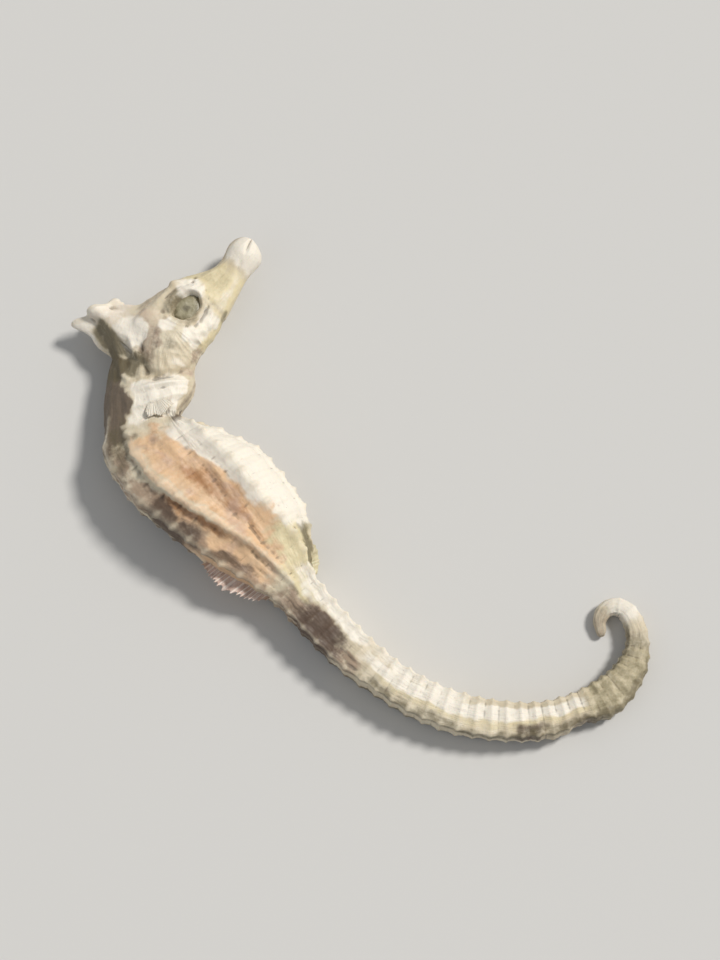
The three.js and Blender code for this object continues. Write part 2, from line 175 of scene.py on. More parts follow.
@dataclass(frozen=True)
class BodyAxis:
    """The curved line through the middle of the body, parallel to the floor."""

    tip: tuple[float, float] = (-12.73, 29.66)
    heading: float = 229.0
    arcs: tuple[Arc, ...] = (
        Arc("snout and face", 13.0, 0.0),
        Arc("nape", 11.0, 60.0),
        Arc("neck", 6.5, 17.0),
        Arc("chest", 8.0, 3.0),
        Arc("flank", 15.0, -1.0),
        Arc("hip", 7.0, 8.0),
        Arc("tail base", 9.0, 16.0),
        Arc("tail front", 10.0, 24.0),
        Arc("tail middle", 9.0, 21.0),
        Arc("tail rear", 5.0, 16.0),
        Arc("start of the curl", 5.5, 42.0),
        Arc("curl", 5.2, 52.0),
        Arc("end of the curl", 4.6, 150.0),
        Arc("tip of the tail", 1.4, 6.0),
    )
    height: Profile = Profile((
        (2, 3.4), (12, 3.6), (20, 3.72), (26, 4.2), (32, 4.65), (38, 4.8), (44, 4.18),
        (52, 3), (60, 2.55), (72, 2.35), (84, 2.1), (96, 1.8), (103, 1.3), (107, 1.1), (110, 0.75),
    ))

    @property
    def length(self) -> float:
        """The length of the axis from snout to tail."""
        return sum(arc.length for arc in self.arcs)

    def at(self, s: Array) -> tuple[Array, Array, Array]:
        """Finds places on the axis.

        Args:
            s: Distances from the tip of the snout.

        Returns:
            The centres, the directions towards the tail, and those towards the
            back, one row each.
        """
        starts, laid = [], []
        x, y, heading, start = *self.tip, math.radians(self.heading), 0.0
        for arc in self.arcs:
            curve = math.radians(arc.turn or 1e-6) / arc.length
            starts.append(start)
            laid.append((x, y, heading, curve))
            end = heading + curve * arc.length
            x += (math.sin(end) - math.sin(heading)) / curve
            y -= (math.cos(end) - math.cos(heading)) / curve
            heading, start = end, start + arc.length
        i = np.clip(np.searchsorted(starts, s, side="right") - 1, 0, len(laid) - 1)
        x0, y0, h0, curve = np.array(laid)[i].T
        h = h0 + curve * (s - np.array(starts)[i])
        cx = x0 + (np.sin(h) - np.sin(h0)) / curve
        cy = y0 - (np.cos(h) - np.cos(h0)) / curve
        flat = np.zeros_like(h)
        centre = np.stack([cx, cy, self.height(s)], axis=-1)
        along = np.stack([np.cos(h), np.sin(h), flat], axis=-1)
        back = np.stack([np.sin(h), -np.cos(h), flat], axis=-1)
        return centre, along, back

    def beside(self, s: Array, towards_back: Array, up: Array) -> Array:
        """Finds points beside the axis.

        Args:
            s: Distances along the axis.
            towards_back: How far they lie from it towards the back.
            up: How far they lie above it, towards the right flank.

        Returns:
            The points, one row each.
        """
        centre, _, back = self.at(s)
        points = centre + back * np.asarray(towards_back)[..., None]
        points[..., 2] += up
        return points


@dataclass(frozen=True)
class Ridge:
    """A long bony ridge: the angle it runs at, and how high it stands."""

    part: str
    angle: Profile
    height: Profile


@dataclass(frozen=True)
class Form:
    """A swelling or a hollow of both flanks, placed by distance and angle."""

    part: str
    at: float
    angle: float
    height: float
    length: float
    spread: float

    def rise(self, s: Array, angle: Array) -> Array:
        """How far the form lifts the surface at each place."""
        return self.height * bell(s - self.at, self.length) * bell(angle - self.angle, self.spread)


@dataclass(frozen=True)
class Knob:
    """A small round boss or pit, placed along the axis and towards the back."""

    part: str
    at: float
    towards_back: float
    height: float
    radius: float

    def rise(self, s: Array, towards_back: Array) -> Array:
        """How far the boss lifts the surface at each place."""
        reach = np.hypot(s - self.at, towards_back - self.towards_back)
        return self.height * bell(reach, self.radius)


@dataclass(frozen=True)
class Fold:
    """A raised or sunken line on both flanks, bowed between its two ends.

    Each end is given by its distance along the axis and towards the back.
    """

    part: str
    start: tuple[float, float]
    end: tuple[float, float]
    height: float
    width: float
    bow: float = 0.0

    def rise(self, s: Array, towards_back: Array) -> Array:
        """Reads the line's relief.

        Args:
            s: Distances along the axis.
            towards_back: How far each place lies towards the back.

        Returns:
            How far the line lifts the surface at each place.
        """
        run_s, run_back = self.end[0] - self.start[0], self.end[1] - self.start[1]
        length = math.hypot(run_s, run_back)
        ahead, above = s - self.start[0], towards_back - self.start[1]
        passed = (ahead * run_s + above * run_back) / length
        share = np.clip(passed / length, 0.0, 1.0)
        aside = (above * run_s - ahead * run_back) / length - self.bow * np.sin(math.pi * share)
        beyond = passed - share * length
        fade = np.sin(math.pi * (0.12 + 0.76 * share))
        return self.height * fade * bell(np.hypot(aside, beyond), self.width)


@dataclass(frozen=True)
class Crease:
    """A long wavering wrinkle of the flank, at an angle from the back."""

    angle: float
    height: float
    fade: float
    width: float = 2.6
    along: tuple[float, float] = (30.0, 44.0)

    def rise(self, s: Array, degrees: Array) -> Array:
        """Reads the wrinkle's relief.

        Args:
            s: Distances along the axis.
            degrees: Angles from the back.

        Returns:
            How far the wrinkle lifts the surface at each place.
        """
        wander = 3.0 * np.sin(s * 0.9 + self.angle) + 2.0 * np.sin(s * 0.37 + 2.0 * self.angle)
        on = bell(degrees - self.angle - wander, self.width)
        return self.height * on * window(s, *self.along, self.fade)


@dataclass(frozen=True)
class Rings:
    """The bony rings: the trunk's are even, the tail's close up to its tip."""

    trunk_start: float = 26.4
    tail_start: float = 51.1
    tail_end: float = 110.2
    trunk: int = 11
    tail: int = 36
    pitch_ratio: float = 0.5
    sharpness: float = 5.0
    seam_width: float = 0.045

    def number(self, s: Array) -> Array:
        """Counts the rings from the front of the trunk.

        Args:
            s: Distances along the axis.

        Returns:
            The ring each one falls in, with the part of that ring passed.
        """
        scale = (self.tail_end - self.tail_start) / (self.pitch_ratio - 1.0)
        past = np.clip((s - self.tail_start) / scale, -0.999, 0.0)
        tail = self.trunk + self.tail * np.log1p(past) / math.log(self.pitch_ratio)
        span = self.tail_start - self.trunk_start
        trunk = self.trunk * (s - self.trunk_start) / span
        return np.where(s <= self.tail_start, trunk, tail)

    def edge(self, s: Array) -> Array:
        """Is 1 on the raised edge between two rings and 0 inside a ring."""
        wave = 0.5 + 0.5 * np.cos(2.0 * math.pi * self.number(s))
        return wave ** self.sharpness

    def suture(self, s: Array) -> Array:
        """Is 1 on the fine seam halfway between two raised edges."""
        number = self.number(s) + 0.5
        return bell(number - np.round(number), self.seam_width)


@dataclass(frozen=True)
class BodyShape:
    """The outer shape of the dried body, apart from its fins."""

    axis: BodyAxis = BodyAxis()
    rings: Rings = Rings()
    back_depth: Profile = Profile((
        (1.8, 2.05), (5, 1.65), (9, 3.4), (13, 4.6), (17, 5.9), (19.5, 5.7), (23, 6.3),
        (28, 9.2), (31, 9.2), (37, 8.1), (44, 6.2), (48, 4.4), (52, 2.8), (60, 2.5),
        (66, 2.2), (74, 2.5), (80, 2.6), (86, 2.75), (89, 2), (92, 2.4), (97, 1.7), (101, 1.2),
        (105, 1.2), (107.5, 0.95), (110, 0.6),
    ))
    belly_depth: Profile = Profile((
        (1.8, 2.1), (5, 2.7), (9, 3.6), (13, 4.1), (21.5, 4.3), (24.4, 3.5), (26.5, 1.4),
        (28.5, 2.7), (31, 4.4), (37, 6.7), (43, 6.7), (47.5, 5), (52, 2.8), (60, 2.7),
        (70, 2.4), (80, 2.05), (86, 1.7), (93, 2.1), (98, 1.8), (103, 1.1), (107.5, 0.8),
        (110, 0.55),
    ))
    flank_width: Profile = Profile((
        (1.8, 2.05), (5, 1.75), (9, 2.8), (12, 3.2), (17, 3.5), (21, 3.2), (24.8, 2.8),
        (31, 4.5), (37, 4.9), (44, 3.9), (52, 2.55), (60, 2.4), (72, 2.2), (84, 1.95),
        (96, 1.65), (103, 1.2), (107, 0.95), (110, 0.6),
    ))
    squareness: Profile = Profile((
        (8, 2), (16, 2.3), (30, 2.1), (46, 2.2), (58, 3), (100, 2.8), (108, 2.2),
    ))
    ring_height: Profile = Profile((
        (22, 0), (27, 0.17), (46, 0.19), (60, 0.22), (90, 0.2), (104, 0.12), (108, 0),
    ))
    knob_height: Profile = Profile((
        (24, 0), (28, 0.13), (50, 0.15), (70, 0.1), (100, 0.06), (108, 0),
    ))
    skin_sink: Profile = Profile((
        (23, 0), (30, 0.35), (45, 0.35), (53, 0.16), (90, 0.1), (105, 0),
    ))
    flank_rings: float = 0.5
    ridge_spread: float = 5.5
    ridges: tuple[Ridge, ...] = (
        Ridge("back ridge",
              Profile(((26, 26), (34, 30), (50, 38), (58, 45))),
              Profile(((22, 0), (27, 0.35), (50, 0.35), (70, 0.25), (104, 0.05)))),
        Ridge("flank ridge",
              Profile(((26, 56), (32, 55), (38, 62), (46, 80), (52, 88))),
              Profile(((24, 0), (29, 0.45), (46, 0.45), (54, 0)))),
        Ridge("belly ridge",
              Profile(((26, 142), (32, 120), (42, 116), (50, 134), (58, 135))),
              Profile(((24, 0), (29, 0.22), (44, 0.24), (50, 0.35), (70, 0.25), (104, 0.05)))),
        Ridge("keel",
              Profile(((0, 180), (108, 180))),
              Profile(((25, 0), (29, 0.3), (46, 0.3), (52, 0)))),
    )
    forms: tuple[Form, ...] = (
        Form("brow", 9.9, 48, 0.45, 1.5, 15),
        Form("rim before the eye", 8.9, 96, 0.2, 0.9, 18),
        Form("cheek", 13.9, 118, 0.45, 1.6, 20),
        Form("chin", 13, 172, 0.3, 2.2, 22),
        Form("ridge behind the eye", 14.6, 60, 0.35, 1.6, 11),
        Form("hollow of the nape", 19.6, 50, -0.75, 2, 20),
        Form("collar", 23.1, 90, 0.3, 0.9, 90),
        Form("hollow flank", 37, 86, -0.95, 7, 16),
        Form("swelling of the belly", 37, 142, 0.22, 8, 14),
        Form("hollow back", 39, 50, -0.3, 7, 9),
        Form("knuckle of the tail", 92.6, 30, 0.2, 1.2, 30),
    )

    def section(self, s: Array, angle: Array) -> tuple[Array, Array]:
        """Gives the plain section, without rings, ridges or swellings.

        Args:
            s: Distances along the axis.
            angle: Angles round it, in radians.

        Returns:
            How far each point lies towards the back and towards the right.
        """
        cos, sin = np.cos(angle), np.sin(angle)
        power = self.squareness(s)
        reach = (np.abs(cos) ** power + np.abs(sin) ** power) ** (-1.0 / power)
        depth = np.where(cos > 0, self.back_depth(s), self.belly_depth(s))
        return reach * cos * depth, reach * sin * self.flank_width(s)

    def ridge_at(self, s: Array, degrees: Array) -> tuple[Array, Array]:
        """Reads the long ridges.

        Args:
            s: Distances along the axis.
            degrees: Angles from the back, 0 to 180.

        Returns:
            How far up a ridge each place is, 0 to 1, and how high it stands.
        """
        share = np.zeros_like(s)
        stand = np.zeros_like(s)
        for ridge in self.ridges:
            on = bell(degrees - ridge.angle(s), self.ridge_spread)
            share = np.maximum(share, on * np.minimum(1.0, ridge.height(s) / 0.2))
            stand = np.maximum(stand, on * ridge.height(s))
        return share, stand

    def relief(self, s: Array, degrees: Array) -> Array:
        """How far the surface stands off the plain section.

        Args:
            s: Distances along the axis.
            degrees: Angles from the back, 0 to 180.

        Returns:
            The heights, negative in a hollow.
        """
        share, stand = self.ridge_at(s, degrees)
        between = mixed(1.0, self.flank_rings, window(s, 28.0, 48.0, 4.0) * (1.0 - share))
        ring = self.ring_height(s) * between + self.knob_height(s) * share ** 2
        ring = self.rings.edge(s) * ring
        total = stand - self.skin_sink(s) * (1.0 - share) + ring
        for form in self.forms:
            total = total + form.rise(s, degrees)
        return total


# ------------------------------------------------------- details of the head

@dataclass(frozen=True)
class EyeSocket:
    """The pit that the eye sits in, with the lids and the creases round it."""

    at: float = 11.8
    towards_back: float = -0.05
    opening: float = 1.14
    wall: float = 0.46
    oval: float = 1.3
    pit: float = 2.1
    lid: float = 0.1
    lid_radius: float = 1.7
    lid_width: float = 0.36
    brow: float = 0.3
    groove: float = 0.09
    crease: float = 0.045
    crease_pitch: float = 0.42
    rays: float = 14.0
    ray: float = 0.02
    wobble: tuple[float, float] = (0.05, 0.035)
    upper_lid: tuple[float, float] = (-0.3, 0.9)
    groove_beyond_lid: float = 0.68
    groove_width: float = 0.24

    def rise(self, s: Array, towards_back: Array) -> Array:
        """Reads the socket's relief.

        Args:
            s: Distances along the axis.
            towards_back: How far each place lies towards the back.

        Returns:
            The heights, negative inside the pit.
        """
        forward, up = (s - self.at) / self.oval, towards_back - self.towards_back
        round_it = np.arctan2(up, forward)
        broad, narrow = self.wobble
        wobble = broad * np.cos(3.0 * round_it + 0.6) + narrow * np.cos(7.0 * round_it)
        reach = np.hypot(forward, up) + wobble
        pit = 1.0 - smoothstep(self.opening, self.opening + self.wall, reach)
        on_lid = bell(reach - self.lid_radius, self.lid_width)
        upper = smoothstep(*self.upper_lid, np.sin(round_it - 0.35))
        around = bell(reach - self.lid_radius - self.groove_beyond_lid, self.groove_width)
        ripple = np.cos(2.0 * math.pi * reach / self.crease_pitch)
        folds = ripple * bell(reach - self.lid_radius - 0.25, 0.45)
        rays = np.cos(self.rays * round_it + 3.4 * np.sin(3.0 * round_it + 0.5) + 2.0 * reach)
        uneven = 0.6 + 0.4 * np.sin(2.0 * round_it + 1.0)
        rays = rays * bell(reach - self.lid_radius - 0.3, 0.5) * uneven
        heights = (self.lid + self.brow * upper) * on_lid - self.groove * around
        return heights + self.crease * folds + self.ray * rays - self.pit * pit


@dataclass(frozen=True)
class GillCover:
    """The bony plate over the gills, with fine ribs that fan out over it."""

    at: float = 17.7
    towards_back: float = -1.0
    length: float = 3.6
    height: float = 3.15
    plate: float = 0.2
    rim: float = 0.09
    groove: float = 0.24
    fan_at: float = 14.6
    fan_back: float = 0.5
    ribs: float = 19.0
    rib: float = 0.07
    plate_edge: tuple[float, float] = (0.7, 1.04)
    rear: tuple[float, float] = (-0.6, 0.5)
    rim_at: float = 0.86
    rim_width: float = 0.08
    slit_at: float = 1.09
    slit_width: float = 0.07
    slit_in_front: float = 0.25

    def rise(self, s: Array, towards_back: Array) -> Array:
        """Reads the plate's relief.

        Args:
            s: Distances along the axis.
            towards_back: How far each place lies towards the back.

        Returns:
            The heights, negative in the slit behind the plate.
        """
        reach = self.reach(s, towards_back)
        plate = 1.0 - smoothstep(*self.plate_edge, reach)
        rear = smoothstep(*self.rear, (s - self.at) / self.length)
        fan = np.arctan2(towards_back - self.fan_back, s - self.fan_at)
        ribs = (0.5 + 0.5 * np.cos(2.0 * self.ribs * fan)) ** 2
        on_ribs = plate * smoothstep(0.0, 0.35, reach) * ribs
        rim = bell(reach - self.rim_at, self.rim_width)
        slit = bell(reach - self.slit_at, self.slit_width) * mixed(self.slit_in_front, 1.0, rear)
        return self.plate * plate + self.rib * on_ribs + self.rim * rim * rear - self.groove * slit

    def reach(self, s: Array, towards_back: Array) -> Array:
        """Is 0 in the middle of the plate and 1 on its edge."""
        return np.hypot(
            (s - self.at) / self.length, (towards_back - self.towards_back) / self.height
        )


@dataclass(frozen=True)
class Mouth:
    """The small mouth at the end of the snout, between two rounded lips."""

    throat: float = 1.9
    lip: float = 0.28
    front: float = 1.5
    half_height: float = 0.5
    half_width: float = 1.3
    towards_back: float = 0.25
    corner: float = 2.9
    corner_depth: float = 0.42
    corner_width: float = 0.15
    corner_start: float = 0.25
    slope: float = 0.35
    throat_rows: int = 8
    lip_rows: int = 12

    def path(self) -> tuple[Array, Array, Array]:
        """Lays out the way from the bottom of the throat to the cheeks.

        Returns:
            The distance along the axis, how far the section has opened from
            the slit to the full snout, and how wide the slit itself is.
        """
        turn = np.linspace(0.0, math.pi / 2.0, self.lip_rows)[1:]
        deep = np.linspace(self.throat, self.lip, self.throat_rows)
        s = [deep, self.lip * (1.0 - np.sin(turn)), self.front * (1.0 - np.cos(turn))]
        opened = [np.zeros(len(deep) + len(turn)), np.sin(turn)]
        inner = 1.0 - self.lip / self.half_height
        slit = [np.linspace(0.0, inner, self.throat_rows),
                mixed(inner, 1.0, 1.0 - np.cos(turn)), np.ones(len(turn))]
        return np.concatenate(s), np.concatenate(opened), np.concatenate(slit)

    def groove(self, s: Array, towards_back: Array) -> Array:
        """Cuts the corners of the mouth into the sides of the snout.

        Args:
            s: Distances along the axis.
            towards_back: How far each place lies towards the back.

        Returns:
            The heights, negative in the cut.
        """
        line = self.towards_back - self.slope * s
        fade = 1.0 - smoothstep(self.corner_start, self.corner, s)
        return -self.corner_depth * fade * bell(towards_back - line, self.corner_width)


@dataclass(frozen=True)
class Coronet:
    """The bony crown on the nape: a short stalk that spreads into five points."""

    foot: tuple[float, float] = (18.1, 3.4)
    crown: tuple[float, float] = (18.2, 8.1)
    base_radius: float = 4.0
    narrowness: float = 0.74
    tilt: float = 21.0
    points: int = 5
    point_reach: float = 0.78
    rear_reach: float = 0.5
    point_rise: float = 0.5
    sharpness: float = 1.4
    hollow: float = 0.5
    ribs: float = 0.17
    level_of: float = 13.0
    reach_below: float = -2.0
    blended: float = 0.34
    rear_width: float = 0.36
    rear_along: tuple[float, float] = (0.26, 0.62)
    ribs_along: tuple[float, float] = (0.16, 0.5)
    lean_along: tuple[float, float] = (0.25, 0.62)
    hollow_along: tuple[float, float] = (0.66, 0.88)
    radius: Profile = Profile((
        (0, 4.0), (0.12, 3.45), (0.28, 2.6), (0.4, 2.15), (0.48, 2.0), (0.56, 2.05),
        (0.62, 2.0), (0.7, 1.7), (0.8, 1.1), (1, 0),
    ))
    height: Profile = Profile((
        (0, 1.0), (0.12, 1.5), (0.28, 2.5), (0.4, 3.25), (0.48, 3.8), (0.56, 4.3),
        (0.62, 4.6), (0.7, 4.78), (0.8, 4.72), (1, 4.7),
    ))
    flare: Profile = Profile(((0, 0), (0.34, 0), (0.58, 1), (0.7, 0.9), (0.86, 0)))

    def frame(self, axis: BodyAxis) -> tuple[Array, Array, Array, Array]:
        """Places the crown on the straight line of the snout.

        Args:
            axis: The body's axis.

        Returns:
            The foot's middle, the stalk's direction, and the directions
            towards the tail and towards the back.
        """
        tip = np.zeros(1)
        centre, along, back = (part[0] for part in axis.at(tip))
        origin = np.array([centre[0], centre[1], float(axis.height(np.array(self.level_of)))])
        foot = origin + along * self.foot[0] + back * self.foot[1]
        stalk = along * (self.crown[0] - self.foot[0]) + back * (self.crown[1] - self.foot[1])
        return foot, stalk / np.linalg.norm(stalk), along, back

    def raise_from(self, skin: Array, axis: BodyAxis) -> tuple[Array, Array, Array]:
        """Draws the skin of the nape up into the crown.

        Args:
            skin: The points of the skin, one row each.
            axis: The body's axis.

        Returns:
            The moved points, how far up the crown each one is, 0 to 1, and the
            angle round its stalk from the tail's side, in degrees.
        """
        foot, stalk, along, _ = self.frame(axis)
        local = skin - foot
        forward = local @ along
        sideways = local[:, 2]
        above = local @ stalk
        reach = np.hypot(forward, sideways / self.narrowness) / self.base_radius
        t = np.where(above > self.reach_below, np.clip(1.0 - reach, 0.0, 1.0), 0.0)
        turn = np.arctan2(sideways / self.narrowness, forward)
        uneven = turn + 0.13 * np.sin(2.0 * turn + 0.7) + 0.06 * np.sin(3.0 * turn)
        point = (0.5 + 0.5 * np.cos(self.points * uneven)) ** self.sharpness
        point = point * (1.0 + 0.22 * np.sin(turn + 2.2) + 0.14 * np.sin(2.0 * turn))
        rear = bell(turn, self.rear_width) * window(t, *self.rear_along, 0.16)
        rib = 1.0 + self.ribs * (2.0 * point - 0.8) * window(t, *self.ribs_along, 0.14)
        flare = self.flare(t)
        radius = self.radius(t) * rib + self.point_reach * point * flare + self.rear_reach * rear
        ahead = radius * np.cos(turn)
        lean = math.tan(math.radians(self.tilt)) * smoothstep(*self.lean_along, t) * ahead
        height = self.height(t) + lean + self.point_rise * point * flare
        height = height - self.hollow * smoothstep(*self.hollow_along, t)
        raised = foot + stalk * height[:, None] + along * ahead[:, None]
        raised[:, 2] += radius * np.sin(turn) * self.narrowness
        share = smoothstep(0.0, self.blended, t)[:, None]
        return mixed(skin, raised, share), t, np.degrees(np.abs(turn))


# ---------------------------------------------------------------- the markings

class Tint(Enum):
    """The stains of the dried skin, and the painted light and shade laid with them, each kept as
    one attribute of its mesh.
    """

    IVORY = "ivory"
    YELLOW = "yellow"
    APRICOT = "apricot"
    RUST = "rust"
    UMBER = "umber"
    MAUVE = "mauve"
    OLIVE = "olive"
    PINK = "pink"
    PEACH = "peach"


# How much of the wandering is left to a marking that follows a line.
HELD_BY_LINE = 0.3


@dataclass(frozen=True)
class Marking:
    """A stained patch of both flanks, or a patch of painted light or shade, with soft edges.

    Its angles are measured from the back, or from a line where it has one.
    """

    part: str
    tint: Tint
    along: tuple[float, float]
    around: tuple[float, float]
    strength: float = 1.0
    soft_along: float = 3.0
    soft_around: float = 28.0
    line: Optional[Profile] = None

    def strength_at(self, s: Array, degrees: Array, drift: Array) -> Array:
        """How strong the marking is at each place.

        Args:
            s: Distances along the axis.
            degrees: Angles from the back.
            drift: How far its edge wanders, along the body and round it.

        Returns:
            The strengths, 0 outside the marking.
        """
        hold = 1.0 if self.line is None else HELD_BY_LINE
        across = degrees if self.line is None else degrees - self.line(s)
        beyond = []
        for place, (low, high), soft in (
            (s + hold * drift[0], self.along, self.soft_along),
            (across + hold * drift[1], self.around, self.soft_around),
        ):
            beyond.append(np.maximum(np.abs(place - 0.5 * (low + high)) / soft
                                     - 0.5 * (high - low) / soft + 0.5, 0.0))
        return self.strength * (1.0 - smoothstep(0.0, 1.0, np.hypot(*beyond)))


BACK_LINE, FLANK_LINE = (ridge.angle for ridge in BodyShape().ridges[:2])
BAND_LINE = Profile((
    (26, 70), (29.5, 83), (33, 94), (37.5, 105), (42, 107), (48, 103),
))

